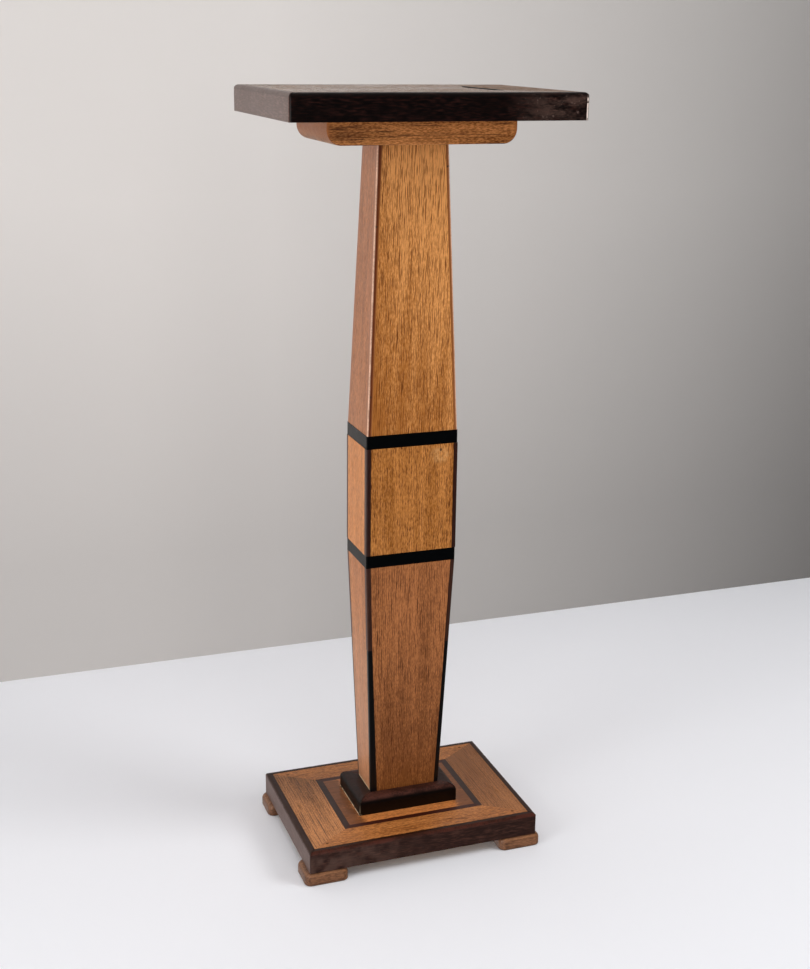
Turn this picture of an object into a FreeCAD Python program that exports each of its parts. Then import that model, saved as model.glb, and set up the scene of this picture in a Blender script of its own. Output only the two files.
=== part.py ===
import FreeCAD, Part
import os
from collections import namedtuple

# A pedestal column: a veneered top on a support block, a tapered column banded at its waist,
# a rounded plinth moulding and a veneered base on four flat feet.
# Millimetres, +Z up, the front towards -Y, the origin on the floor under the centre.

# Top board
top_width = 365.0
top_depth = 260.0
top_thickness = 32.1
top_lipping = 10.0
top_edge_radius = 6.0
top_corner_radius = 3.0
top_panel_width = 200.0
top_panel_depth = 141.0

# Support block
block_width = 239.4
block_depth = 130.5
block_thickness = 30.4
block_end_radius = 17.5
block_edge_radius = 1.6

# Column: its sections from the head, through the banded waist, to where it meets the base. The
# middle section stands a little proud of the bands, and the upper one a little back from them.
head_width = 91.8
head_depth = 57.8
waist_width = 122.8
waist_depth = 81.6
heel_width = 96.5
heel_depth = 54.5
upper_height = 358.5
middle_height = 142.3
lower_height = 354.9
band_height = 17.2
middle_proud = 0.6
upper_set_back = 0.5

# Veneer sheets, and the strings that cover their edges at the column's corners. A string's width
# shows on the front and back, its depth on the sides. The left ones are the wider, and the black
# length of each lower string grows wider down to its heel.
veneer = 1.5
string_left_width = 6.4
string_right_width = 4.6
string_left_heel_width = 9.2
string_right_heel_width = 4.9
string_depth = 7.0
black_string_depth = 4.8
black_string_height = 237.3
string_radius = 1.6

# Plinth moulding
plinth_width = 141.0
plinth_depth = 90.0
plinth_height = 24.5
plinth_radius = 10.0
plinth_corner_radius = 1.5

# Base
base_width = 321.5
base_depth = 229.0
base_thickness = 30.8
base_lipping = 9.0
base_edge_radius = 4.5
base_corner_radius = 1.5
inlay_width = 198.0
inlay_depth = 141.0
side_string_width = 9.0
front_string_width = 6.0

# Feet
foot_width = 59.0
foot_depth = 47.0
foot_height = 16.6
foot_overhang_x = 6.2
foot_overhang_y = 3.4
foot_corner_radius = 9.0
foot_edge_radius = 7.0
foot_sole_bevel = 1.2

# Dowels through the bands
dowel_radius = 5.0
dowel_bite = 24.0
dowel_spacing = 56.0

# Countersunk wood screws
screw_radius = 2.2
screw_head_radius = 4.4
screw_head_height = 2.6
screw_tip = 4.0
screw_bite = 20.0
column_screw_spacing = 40.0
wing_screw_inset_x = 40.0
wing_screw_inset_y = 25.0

# Nails through the base into the feet, and the filler over their heads
nail_radius = 1.1
nail_head_radius = 2.0
nail_head_height = 1.2
nail_sink = 3.0
nail_bite = 11.0
nail_inset_x = 28.5
nail_inset_y = 17.0

# Room round fasteners and dowels, and how far cutting shapes run past what they cut
fastener_clearance = 0.15
overrun = 5.0
mitre_overrun_share = 0.15
diagonal_share = 0.5 ** 0.5
level_tolerance = 1e-6

# Levels, from the floor up
base_low = foot_height
base_top = base_low + base_thickness
lower_top = base_top + lower_height
middle_low = lower_top + band_height
middle_top = middle_low + middle_height
upper_low = middle_top + band_height
upper_top = upper_low + upper_height
block_top = upper_top + block_thickness
top_level = block_top + top_thickness

SIDES = ("front", "right", "back", "left")
CORNERS = ((-1, -1), (1, -1), (1, 1), (-1, 1))

# One tapered length of the column: its levels and its half sizes at both ends
Section = namedtuple("Section", "low high low_half high_half")


def halves(width, depth):
    return width / 2, depth / 2


def inset(half, amount):
    return half[0] - amount, half[1] - amount


head_half = halves(head_width, head_depth)
waist_half = halves(waist_width, waist_depth)
heel_half = halves(heel_width, heel_depth)
middle_half = inset(waist_half, -middle_proud)
lower_section = Section(base_top, lower_top, heel_half, waist_half)
middle_section = Section(middle_low, middle_top, middle_half, middle_half)
upper_section = Section(upper_low, upper_top, inset(waist_half, upper_set_back), head_half)


def vector(point, level):
    return FreeCAD.Vector(point[0], point[1], level)


def turn(side, along, out):
    """Plan point on a side of the object: along the side, and out from the centre."""
    places = {"front": (along, -out), "right": (out, along), "back": (-along, out), "left": (-out, -along)}
    return places[side]


def spans(side, half):
    """Half length of a side and its distance from the centre, from the half sizes in X and Y."""
    return half if side in ("front", "back") else half[::-1]


def outline(points, level):
    corners = [vector(point, level) for point in points]
    return Part.makePolygon(corners + corners[:1])


def prism(points, low, high):
    return Part.Face(outline(points, low)).extrude(FreeCAD.Vector(0, 0, high - low))


def slab(half, low, high):
    return prism([(half[0] * x, half[1] * y) for x, y in CORNERS], low, high)


def extent(corner, opposite):
    """Lower and upper limits in X, then in Y, of the rectangle between two opposite corners."""
    return sorted((corner[0], opposite[0])) + sorted((corner[1], opposite[1]))


def tapered(section, low_extent, high_extent):
    """Solid with flat sides from a rectangle at a section's low level to one at its high level."""
    low_x, low_far_x, low_y, low_far_y = low_extent
    high_x, high_far_x, high_y, high_far_y = high_extent
    lying = Part.makeWedge(low_x, section.low, -low_far_y, -high_far_y, high_x,
                           low_far_x, section.high, -low_y, -high_y, high_far_x)
    lying.rotate(FreeCAD.Vector(0, 0, 0), FreeCAD.Vector(1, 0, 0), 90)
    return lying


def whole(section, skin=0):
    """Whole outline of a column section, or what is left of it inside a skin on its faces."""
    low, high = inset(section.low_half, skin), inset(section.high_half, skin)
    return tapered(section, extent((-low[0], -low[1]), low), extent((-high[0], -high[1]), high))


def half_at(section, level):
    """Half sizes of a column section at one level."""
    rise_share = (level - section.low) / (section.high - section.low)
    return tuple(a + (b - a) * rise_share for a, b in zip(section.low_half, section.high_half))


def part_of(section, low, high):
    return Section(low, high, half_at(section, low), half_at(section, high))


def rises(edge):
    return abs(edge.Vertexes[0].Z - edge.Vertexes[-1].Z) > level_tolerance


def round_edges(shape, radius, chosen):
    return shape.makeFillet(radius, [edge for edge in shape.Edges if chosen(edge)])


def along_mitre(inner, outer, share):
    """Half sizes on the mitre line, a share of the way from the inner corner to the outer one."""
    return tuple(a + (b - a) * share for a, b in zip(inner, outer))


def mitred(side, inner, outer, low, high):
    """One side of a frame between two rectangles, cut at its corners on the line that joins theirs."""
    along_inner, out_inner = spans(side, inner)
    along_outer, out_outer = spans(side, outer)
    points = ((-along_outer, out_outer), (along_outer, out_outer),
              (along_inner, out_inner), (-along_inner, out_inner))
    return prism([turn(side, *point) for point in points], low, high)


def turned(profile):
    """Solid turned about Z from points of radius and level."""
    points = [FreeCAD.Vector(radius, 0, level) for radius, level in profile]
    face = Part.Face(Part.makePolygon(points + points[:1]))
    return face.revolve(FreeCAD.Vector(0, 0, 0), FreeCAD.Vector(0, 0, 1), 360)


def placed(shape, point, level, upside_down=False):
    moved = shape.copy()
    if upside_down:
        moved.rotate(FreeCAD.Vector(0, 0, 0), FreeCAD.Vector(1, 0, 0), 180)
    moved.translate(vector(point, level))
    return moved


def drilled(shape, holes):
    for hole in holes:
        shape = shape.cut(hole)
    return shape


def screw(length, room=0):
    """Countersunk screw from its head at level zero up to its point, or its hole with room round it."""
    shank = screw_radius + room
    return turned(((0, 0), (screw_head_radius + room, 0), (shank, screw_head_height),
                   (shank, length - screw_tip), (0, length + room)))


def nail(length, room=0):
    """Nail from its head at level zero up to its point, or its hole with room round it."""
    head = nail_head_radius + room
    shank = nail_radius + room
    return turned(((0, 0), (head, 0), (head, nail_head_height), (shank, nail_head_height),
                   (shank, length + room), (0, length + room)))


def pair(spacing):
    return [(-spacing / 2, 0), (spacing / 2, 0)]


def four(half, inset_x, inset_y):
    """A place near each corner of a rectangle."""
    return [(x * (half[0] - inset_x), y * (half[1] - inset_y)) for x, y in CORNERS]


def nail_places():
    return four(halves(base_width, base_depth), nail_inset_x, nail_inset_y)


def wing_screw_places():
    return four(halves(block_width, block_depth), wing_screw_inset_x, wing_screw_inset_y)


def column_screws(room=0):
    """Screws from under the base into the column's foot."""
    body = screw(base_thickness + screw_bite, room)
    return [placed(body, point, base_low) for point in pair(column_screw_spacing)]


def block_screws(room=0):
    """Screws down through the support block into the column's head."""
    body = screw(block_thickness + screw_bite, room)
    return [placed(body, point, block_top, upside_down=True) for point in pair(column_screw_spacing)]


def wing_screws(room=0):
    """Screws up through the wings of the support block into the top."""
    body = screw(block_thickness + screw_bite, room)
    return [placed(body, point, upper_top) for point in wing_screw_places()]


def foot_nails(room=0):
    body = nail(base_thickness - nail_sink + nail_bite, room)
    return [placed(body, point, base_top - nail_sink, upside_down=True) for point in nail_places()]


def nail_plugs(room=0):
    """Filler over the nails' heads, level with the base."""
    plug = Part.makeCylinder(nail_head_radius + room, nail_sink)
    return [placed(plug, point, base_top - nail_sink) for point in nail_places()]


def dowels(low, high, room=0):
    """A pair of dowels through the band between two levels, into the sections above and below it."""
    length = high - low + 2 * (dowel_bite + room)
    dowel = Part.makeCylinder(dowel_radius + room, length)
    return [placed(dowel, point, low - dowel_bite - room) for point in pair(dowel_spacing)]


def all_dowels(room=0):
    return dowels(lower_top, middle_low, room) + dowels(middle_top, upper_low, room)


def rail(side, outer, low, high, radius):
    """Bar along one side of a rectangle, its upper outer edge rounded."""
    along, out = spans(side, outer)
    shoulder = high - radius
    bend = (out - radius + radius * diagonal_share, shoulder + radius * diagonal_share)

    def point(reach, level):
        return vector(turn(side, -along, reach), level)

    edges = [
        Part.makeLine(point(0, low), point(out, low)),
        Part.makeLine(point(out, low), point(out, shoulder)),
        Part.Arc(point(out, shoulder), point(*bend), point(out - radius, high)).toShape(),
        Part.makeLine(point(out - radius, high), point(0, high)),
        Part.makeLine(point(0, high), point(0, low)),
    ]
    length = vector(turn(side, along, 0), 0) - vector(turn(side, -along, 0), 0)
    return Part.Face(Part.Wire(edges)).extrude(length)


def mitred_rail(side, inner, outer, low, high, edge_radius, corner_radius):
    """Rounded bar on one side of a frame, mitred to its neighbours."""
    past_corner = along_mitre(inner, outer, 1 + mitre_overrun_share)
    wedge = mitred(side, inner, past_corner, low - overrun, high + overrun)
    rounded_plan = round_edges(slab(outer, low, high), corner_radius, rises)
    return rail(side, outer, low, high, edge_radius).common(wedge).common(rounded_plan)


def support_block():
    """Bearer whose lower ends are rounded off, with eased front and back edges."""
    half_width, half_depth = halves(block_width, block_depth)
    reach = half_width - block_end_radius
    shoulder = upper_top + block_end_radius
    bend = (reach + block_end_radius * diagonal_share, shoulder - block_end_radius * diagonal_share)

    def point(x, z):
        return FreeCAD.Vector(x, -half_depth, z)

    edges = [
        Part.makeLine(point(-half_width, block_top), point(half_width, block_top)),
        Part.makeLine(point(half_width, block_top), point(half_width, shoulder)),
        Part.Arc(point(half_width, shoulder), point(*bend), point(reach, upper_top)).toShape(),
        Part.makeLine(point(reach, upper_top), point(-reach, upper_top)),
        Part.Arc(point(-reach, upper_top), point(-bend[0], bend[1]), point(-half_width, shoulder)).toShape(),
        Part.makeLine(point(-half_width, shoulder), point(-half_width, block_top)),
    ]
    body = Part.Face(Part.Wire(edges)).extrude(FreeCAD.Vector(0, block_depth, 0))

    def shows(edge):
        on_face = abs(abs(edge.CenterOfMass.y) - half_depth) < level_tolerance
        return on_face and edge.CenterOfMass.z < block_top - level_tolerance

    return round_edges(body, block_edge_radius, shows)


def column_veneer(section, side):
    """Veneer on one face of a section, over its whole width."""
    def strip(half):
        along, out = spans(side, half)
        return extent(turn(side, -along, out), turn(side, along, out - veneer))

    return tapered(section, strip(section.low_half), strip(section.high_half))


def corner_string(section, corner, low_width, high_width, depth):
    """Square-edged string in one corner of a section."""
    def square(half, width):
        outer = (corner[0] * half[0], corner[1] * half[1])
        inner = (corner[0] * (half[0] - width), corner[1] * (half[1] - depth))
        return extent(outer, inner)

    return tapered(section, square(section.low_half, low_width), square(section.high_half, high_width))


def plain_strings(section):
    """A section's four strings, as wide at their heels as at their heads."""
    def string(corner):
        width = string_left_width if corner[0] < 0 else string_right_width
        return corner_string(section, corner, width, width, string_depth)

    return [string(corner) for corner in CORNERS]


def black_strings(section):
    """A section's four strings, wider at their heels."""
    left = (string_left_heel_width, string_left_width)
    right = (string_right_heel_width, string_right_width)

    def string(corner):
        heel, head = left if corner[0] < 0 else right
        return corner_string(section, corner, heel, head, black_string_depth)

    return [string(corner) for corner in CORNERS]


def eased(string):
    """A string with its outer edge rounded."""
    uprights = [edge for edge in string.Edges if rises(edge)]
    outermost = max(uprights, key=lambda edge: abs(edge.CenterOfMass.x) + abs(edge.CenterOfMass.y))
    return string.makeFillet(string_radius, [outermost])


def band(low, high):
    """Flush black plate between two sections of the column."""
    return round_edges(slab(waist_half, low, high), string_radius, rises)


def plinth_moulding(side):
    """Rounded moulding along one side of the column's foot, scribed to its taper."""
    outer = halves(plinth_width, plinth_depth)
    within = along_mitre(heel_half, outer, -mitre_overrun_share)
    high = base_top + plinth_height
    moulding = mitred_rail(side, within, outer, base_top, high, plinth_radius, plinth_corner_radius)
    return moulding.cut(whole(part_of(lower_section, base_top, high + overrun)))


def foot(corner):
    """Flat pad under a corner of the base, standing a little past it: rounded above, bevelled below."""
    half = halves(foot_width, foot_depth)
    pad = round_edges(slab(half, 0, foot_height), foot_corner_radius, rises)
    pad = round_edges(pad, foot_edge_radius, lambda edge: edge.BoundBox.ZMin > foot_height - level_tolerance)
    sole_edges = [edge for edge in pad.Edges if edge.BoundBox.ZMax < level_tolerance]
    pad = pad.makeChamfer(foot_sole_bevel, sole_edges)
    centre_x = base_width / 2 + foot_overhang_x - half[0]
    centre_y = base_depth / 2 + foot_overhang_y - half[1]
    return placed(pad, (corner[0] * centre_x, corner[1] * centre_y), 0)


def top_pieces():
    half = halves(top_width, top_depth)
    field = inset(half, top_lipping)
    panel = halves(top_panel_width, top_panel_depth)
    underlay = top_level - veneer
    pieces = {"top_core": drilled(slab(field, block_top, underlay), wing_screws(fastener_clearance))}
    for side in SIDES:
        pieces["top_lipping_" + side] = mitred_rail(side, field, half, block_top, top_level,
                                                    top_edge_radius, top_corner_radius)
        pieces["top_frame_" + side] = mitred(side, panel, field, underlay, top_level)
    pieces["top_centre_panel"] = slab(panel, underlay, top_level)
    return pieces


def block_pieces():
    holes = wing_screws(fastener_clearance) + block_screws(fastener_clearance)
    return {
        "support_block": drilled(support_block(), holes),
        "top_fixing_screws": Part.makeCompound(wing_screws()),
        "block_fixing_screws": Part.makeCompound(block_screws()),
    }


def column_pieces():
    dowel_holes = all_dowels(fastener_clearance)
    joint = base_top + black_string_height
    strings = {
        "upper_strings": plain_strings(upper_section),
        "middle_strings": plain_strings(middle_section),
        "lower_brown_strings": plain_strings(part_of(lower_section, joint, lower_top)),
        "lower_black_strings": black_strings(part_of(lower_section, base_top, joint)),
    }
    sections = {
        "upper": (upper_section, block_screws(fastener_clearance)),
        "middle": (middle_section, []),
        "lower": (lower_section, column_screws(fastener_clearance)),
    }
    pieces = {}
    for name, (section, screw_holes) in sections.items():
        rebates = [string for group in strings if group.startswith(name) for string in strings[group]]
        pieces[name + "_core"] = drilled(whole(section, veneer), rebates + dowel_holes + screw_holes)
        for side in SIDES:
            pieces[name + "_veneer_" + side] = drilled(column_veneer(section, side), rebates)
    for group, bodies in strings.items():
        pieces[group] = Part.makeCompound([eased(body) for body in bodies])
    pieces["upper_band"] = drilled(band(middle_top, upper_low), dowel_holes)
    pieces["lower_band"] = drilled(band(lower_top, middle_low), dowel_holes)
    pieces["section_dowels"] = Part.makeCompound(all_dowels())
    return pieces


def base_pieces():
    half = halves(base_width, base_depth)
    field = inset(half, base_lipping)
    inlay = halves(inlay_width, inlay_depth)
    panel = (inlay[0] - side_string_width, inlay[1] - front_string_width)
    underlay = base_top - veneer
    nail_holes = foot_nails(fastener_clearance) + nail_plugs(fastener_clearance)
    screw_holes = column_screws(fastener_clearance)
    pieces = {"base_core": drilled(slab(field, base_low, underlay), nail_holes + screw_holes)}
    for side in SIDES:
        pieces["plinth_moulding_" + side] = plinth_moulding(side)
        pieces["base_lipping_" + side] = mitred_rail(side, field, half, base_low, base_top,
                                                     base_edge_radius, base_corner_radius)
        pieces["base_frame_" + side] = drilled(mitred(side, inlay, field, underlay, base_top), nail_holes)
    strings = [mitred(side, panel, inlay, underlay, base_top) for side in SIDES]
    pieces["base_inlay_strings"] = Part.makeCompound(strings)
    pieces["base_centre_panel"] = drilled(slab(panel, underlay, base_top), screw_holes)
    pieces["column_fixing_screws"] = Part.makeCompound(column_screws())
    return pieces


def foot_pieces():
    nail_holes = foot_nails(fastener_clearance)
    names = ("foot_front_left", "foot_front_right", "foot_back_right", "foot_back_left")
    pieces = {name: drilled(foot(corner), nail_holes) for name, corner in zip(names, CORNERS)}
    pieces["foot_nails"] = Part.makeCompound(foot_nails())
    pieces["nail_fillers"] = Part.makeCompound(nail_plugs())
    return pieces


os.makedirs("parts", exist_ok=True)
for make_pieces in (top_pieces, block_pieces, column_pieces, base_pieces, foot_pieces):
    for node, shape in make_pieces().items():
        shape.exportStep(f"parts/{node}.step")
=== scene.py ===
import math
from collections import namedtuple

import bpy
from mathutils import Matrix, Vector


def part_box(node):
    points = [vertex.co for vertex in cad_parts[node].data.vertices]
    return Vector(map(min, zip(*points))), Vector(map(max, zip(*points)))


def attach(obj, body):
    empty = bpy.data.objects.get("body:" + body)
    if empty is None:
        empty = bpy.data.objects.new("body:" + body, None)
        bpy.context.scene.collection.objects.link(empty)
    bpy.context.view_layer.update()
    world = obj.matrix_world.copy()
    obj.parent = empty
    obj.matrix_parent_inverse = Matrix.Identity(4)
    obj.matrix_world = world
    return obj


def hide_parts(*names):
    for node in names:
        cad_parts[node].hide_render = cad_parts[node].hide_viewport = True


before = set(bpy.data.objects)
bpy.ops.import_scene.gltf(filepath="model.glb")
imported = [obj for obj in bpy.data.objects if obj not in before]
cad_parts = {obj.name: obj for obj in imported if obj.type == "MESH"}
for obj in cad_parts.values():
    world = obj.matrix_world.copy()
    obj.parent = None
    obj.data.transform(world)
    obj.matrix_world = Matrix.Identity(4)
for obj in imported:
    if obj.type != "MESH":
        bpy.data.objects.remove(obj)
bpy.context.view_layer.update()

bl_info = {
    "name": "Banded pedestal",
    "version": (1, 0, 0),
    "blender": (4, 5, 0),
    "location": "3D View > Sidebar > Pedestal",
    "description": "Finishes a veneered pedestal column: its oaks, stains, rounded rails, screws and stage",
    "category": "Object",
}

# Lengths are in metres, and in millimetres inside the materials.
MM = 0.001
PER_METRE = 1000.0
BODY = "root"
SIDES = ("front", "right", "back", "left")
TURNS = {"front": 0.0, "right": math.pi / 2, "back": math.pi, "left": -math.pi / 2}
FEET = ("foot_front_left", "foot_front_right", "foot_back_right", "foot_back_left")
GRAINS = {"front": "x", "back": "x", "left": "y", "right": "y"}


# Settings

def srgb(red, green, blue):
    """Scene colour of a screen colour given in steps from 0 to 255."""
    steps, foot, foot_slope, offset, power = 255, 0.04045, 12.92, 0.055, 2.4

    def linear(step):
        level = step / steps
        return level / foot_slope if level <= foot else ((level + offset) / (1 + offset)) ** power
    return tuple(linear(step) for step in (red, green, blue))


def colour(label, about, steps):
    return bpy.props.FloatVectorProperty(name=label, description=about, default=srgb(*steps),
                                         size=3, min=0.0, max=1.0, subtype="COLOR")


def length(label, about, millimetres):
    return bpy.props.FloatProperty(name=label, description=about, default=millimetres * MM,
                                   min=0.0, precision=5, subtype="DISTANCE", unit="LENGTH")


def share(label, about, value):
    return bpy.props.FloatProperty(name=label, description=about, default=value,
                                   min=0.0, max=1.0, subtype="FACTOR")


def settings_group(name, about, fields):
    members = {"__doc__": about, "__annotations__": fields}
    return type("Pedestal" + name, (bpy.types.PropertyGroup,), members)


def class_words(piece):
    return "".join(word.capitalize() for word in piece.replace("'", "").split())


def oak_settings(piece, light, dark, pore, line_width, line_length, lines, streaks, wander):
    """Settings of one oak: its colours, its lines and streaks, and how its grain wanders."""
    return settings_group(class_words(piece) + "Oak", f"Oak of the {piece}", {
        "light": colour("Light", f"Light figure of the {piece}", light),
        "dark": colour("Dark", f"Dark figure of the {piece}", dark),
        "pore": colour("Pores", f"Pores, lines and dark streaks of the {piece}", pore),
        "line_width": length("Line width", f"From one row of lines to the next on the {piece}", line_width),
        "line_length": length("Line length", f"Length of the lines on the {piece}", line_length),
        "lines": share("Lines", f"How dark the fine lines of the {piece} are", lines),
        "streaks": share("Streaks", f"How dark the long streaks of the {piece} are", streaks),
        "wander": length("Wander", f"How far the grain of the {piece} leaves a straight line", wander),
    })


def stain_settings(piece, ground, streak, worn, roughness, wear, **column_colours):
    """Settings of one stained wood: its colours, its gloss and its wear."""
    fields = {
        "ground": colour("Ground", f"Stain of the {piece}", ground),
        "streak": colour("Streaks", f"Lighter streaks along the {piece}", streak),
        # On the strings, the bands, the base lipping and the plinth this worn colour is partly a painted
        # highlight along their edges.
        "worn": colour("Worn", f"Colour where the {piece} are rubbed", worn),
        "roughness": share("Roughness", f"Roughness of the {piece}", roughness),
        "wear": share("Wear", f"How much the edges of the {piece} are rubbed", wear),
    }
    abouts = {"side": "on the column's sides", "inner": "beside the veneer of the column's faces"}
    for key, steps in column_colours.items():
        fields[key] = colour(key.capitalize(), f"Colour of the {piece} {abouts[key]}", steps)
    return settings_group(class_words(piece) + "Stain", f"Stain of the {piece}", fields)


OAKS = {
    "upper_faces": oak_settings(
        "upper faces", light=(219, 151, 86), dark=(160, 97, 38), pore=(94, 42, 0),
        line_width=2.6, line_length=13.0, lines=0.78, streaks=0.9, wander=3.0),
    # The side oaks are paler than the faces partly by their own colour and partly as a painted sheen.
    "upper_sides": oak_settings(
        "upper sides", light=(208, 137, 88), dark=(156, 95, 56), pore=(112, 65, 36),
        line_width=4.4, line_length=14.0, lines=0.55, streaks=0.2, wander=2.0),
    "middle_faces": oak_settings(
        "middle faces", light=(201, 132, 66), dark=(139, 81, 20), pore=(82, 33, 0),
        line_width=2.7, line_length=7.0, lines=0.85, streaks=0.25, wander=2.0),
    # Paler than the middle faces, partly as a painted sheen.
    "middle_sides": oak_settings(
        "middle sides", light=(240, 161, 95), dark=(200, 125, 66), pore=(156, 93, 50),
        line_width=4.4, line_length=9.0, lines=0.5, streaks=0.1, wander=2.0),
    "lower_faces": oak_settings(
        "lower faces", light=(178, 111, 62), dark=(119, 68, 29), pore=(80, 35, 6),
        line_width=2.7, line_length=18.0, lines=0.95, streaks=0.4, wander=2.0),
    # Paler than the lower faces, partly as a painted sheen.
    "lower_sides": oak_settings(
        "lower sides", light=(220, 145, 90), dark=(174, 107, 62), pore=(128, 75, 42),
        line_width=4.4, line_length=14.0, lines=0.55, streaks=0.15, wander=2.0),
    "support_block": oak_settings(
        "support block", light=(210, 140, 80), dark=(104, 54, 6), pore=(52, 16, 0),
        line_width=2.5, line_length=32.0, lines=0.8, streaks=0.7, wander=3.0),
    "top_field": oak_settings(
        "top field", light=(150, 108, 70), dark=(90, 62, 38), pore=(44, 30, 18),
        line_width=3.4, line_length=22.0, lines=0.8, streaks=0.7, wander=4.0),
    "base_sides": oak_settings(
        "base sides", light=(202, 135, 80), dark=(128, 79, 36), pore=(70, 34, 10),
        line_width=3.2, line_length=34.0, lines=0.95, streaks=0.3, wander=1.5),
    "base_ends": oak_settings(
        "base front and back", light=(216, 141, 76), dark=(148, 86, 38), pore=(80, 40, 12),
        line_width=2.8, line_length=9.0, lines=0.9, streaks=0.3, wander=2.0),
    "base_panel": oak_settings(
        "base panel", light=(226, 140, 74), dark=(126, 74, 38), pore=(84, 46, 22),
        line_width=2.8, line_length=12.0, lines=0.6, streaks=0.3, wander=2.0),
    "feet": oak_settings(
        "feet", light=(148, 100, 68), dark=(90, 54, 32), pore=(54, 28, 14),
        line_width=2.9, line_length=9.0, lines=0.65, streaks=0.4, wander=2.0),
}
STAINS = {
    "top_lipping": stain_settings(
        "top lippings", ground=(5, 2, 2), streak=(54, 25, 19), worn=(12, 5, 4),
        roughness=0.34, wear=0.6),
    # The top's side lippings are pale mauve-grey partly by fading and partly as a painted reflection.
    "faded_lipping": stain_settings(
        "top's side lippings", ground=(97, 73, 65), streak=(143, 116, 106), worn=(80, 66, 60),
        roughness=0.36, wear=0.6),
    # The base lipping's reddish worn colour on its rounded edge is partly wear and partly a painted
    # highlight.
    "base_lipping": stain_settings(
        "base lippings", ground=(42, 23, 18), streak=(90, 56, 45), worn=(84, 40, 29),
        roughness=0.42, wear=0.65),
    # The base's side lippings are pale grey-brown partly by fading and partly as a painted sheen.
    "faded_base_lipping": stain_settings(
        "base's side lippings", ground=(104, 80, 74), streak=(140, 112, 104), worn=(58, 36, 27),
        roughness=0.42, wear=0.8),
    # The plinth's worn colour on its crown is wear and a painted sheen.
    "plinth": stain_settings(
        "plinth mouldings", ground=(5, 2, 1), streak=(20, 9, 8), worn=(88, 50, 40),
        roughness=0.42, wear=0.75),
    "inlay": stain_settings(
        "inlay strings", ground=(44, 24, 16), streak=(64, 38, 28), worn=(104, 70, 50),
        roughness=0.45, wear=0.2),
    # On the strings and the bands below, the worn colour is laid along the corners as a painted highlight,
    # partly wear as well.
    "upper_strings": stain_settings(
        "upper strings", ground=(90, 36, 4), streak=(118, 58, 18), worn=(254, 206, 174),
        roughness=0.34, wear=0.95, side=(176, 112, 74), inner=(178, 112, 54)),
    "middle_strings": stain_settings(
        "middle strings", ground=(40, 15, 8), streak=(62, 27, 16), worn=(110, 104, 104),
        roughness=0.34, wear=0.2, side=(84, 50, 36), inner=(52, 23, 12)),
    "lower_strings": stain_settings(
        "lower strings", ground=(50, 24, 14), streak=(76, 42, 26), worn=(116, 84, 70),
        roughness=0.34, wear=0.2, side=(84, 46, 32), inner=(60, 30, 17)),
    "black_strings": stain_settings(
        "black strings", ground=(6, 5, 5), streak=(14, 12, 12), worn=(40, 37, 36),
        roughness=0.36, wear=0.1, side=(13, 12, 12), inner=(10, 8, 8)),
    "bands": stain_settings(
        "bands", ground=(1, 2, 3), streak=(6, 7, 9), worn=(24, 25, 28),
        roughness=0.3, wear=0.1),
}


def pointers(classes):
    return {key: bpy.props.PointerProperty(type=kind, name=key.replace("_", " ").capitalize(),
                                           description=kind.__doc__) for key, kind in classes.items()}


PedestalOaks = settings_group("Oaks", "Oaks of the pedestal", pointers(OAKS))
PedestalStains = settings_group("Stains", "Stained woods of the pedestal", pointers(STAINS))


class PedestalShapes(bpy.types.PropertyGroup):
    """Sizes of the rails, the screws and the top's sunken joint"""
    top_edge: length("Top edge radius", "Rounding of the top lipping's upper edge", 6.0)
    top_corner: length("Top corner radius", "Rounding of the top's upright corners", 3.0)
    base_edge: length("Base edge radius", "Rounding of the base lipping's upper edge", 4.5)
    base_corner: length("Base corner radius", "Rounding of the base's upright corners", 1.5)
    plinth_edge: length("Plinth edge radius", "Rounding of the plinth moulding's upper edge", 10.0)
    plinth_corner: length("Plinth corner radius", "Rounding of the plinth's upright corners", 1.5)
    rail_ease: length("Rail ease", "Rounding of a rail's other edges", 0.5)
    mitre_gap: length("Mitre gap", "How far a rail stands back from its mitre", 0.06)
    knock_depth: length("Knock depth", "Depth of the knocks along a rail's rounded edge", 0.2)
    panel_dip: length("Panel dip", "How far the top's centre panel has sunk at its right joint", 1.3)
    dip_reach: length("Dip reach", "How far the dip reaches into the panel", 46.0)
    screw_head: length("Screw head radius", "Radius of a countersunk head", 4.4)
    screw_head_height: length("Screw head height", "Height of a countersunk head", 2.6)
    screw_shank: length("Screw shank radius", "Radius of a screw below its head", 2.2)
    screw_tip: length("Screw tip", "Length of a screw's point", 4.0)
    slot_width: length("Slot width", "Width of the slot in a screw's head", 1.1)
    slot_depth: length("Slot depth", "Depth of the slot in a screw's head", 1.3)


def angle(label, about, degrees):
    return bpy.props.FloatProperty(name=label, description=about, default=math.radians(degrees),
                                   subtype="ANGLE", unit="ROTATION")


def light_power(label, about, watts):
    return bpy.props.FloatProperty(name=label, description=about, default=watts, min=0.0, unit="POWER")


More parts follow.
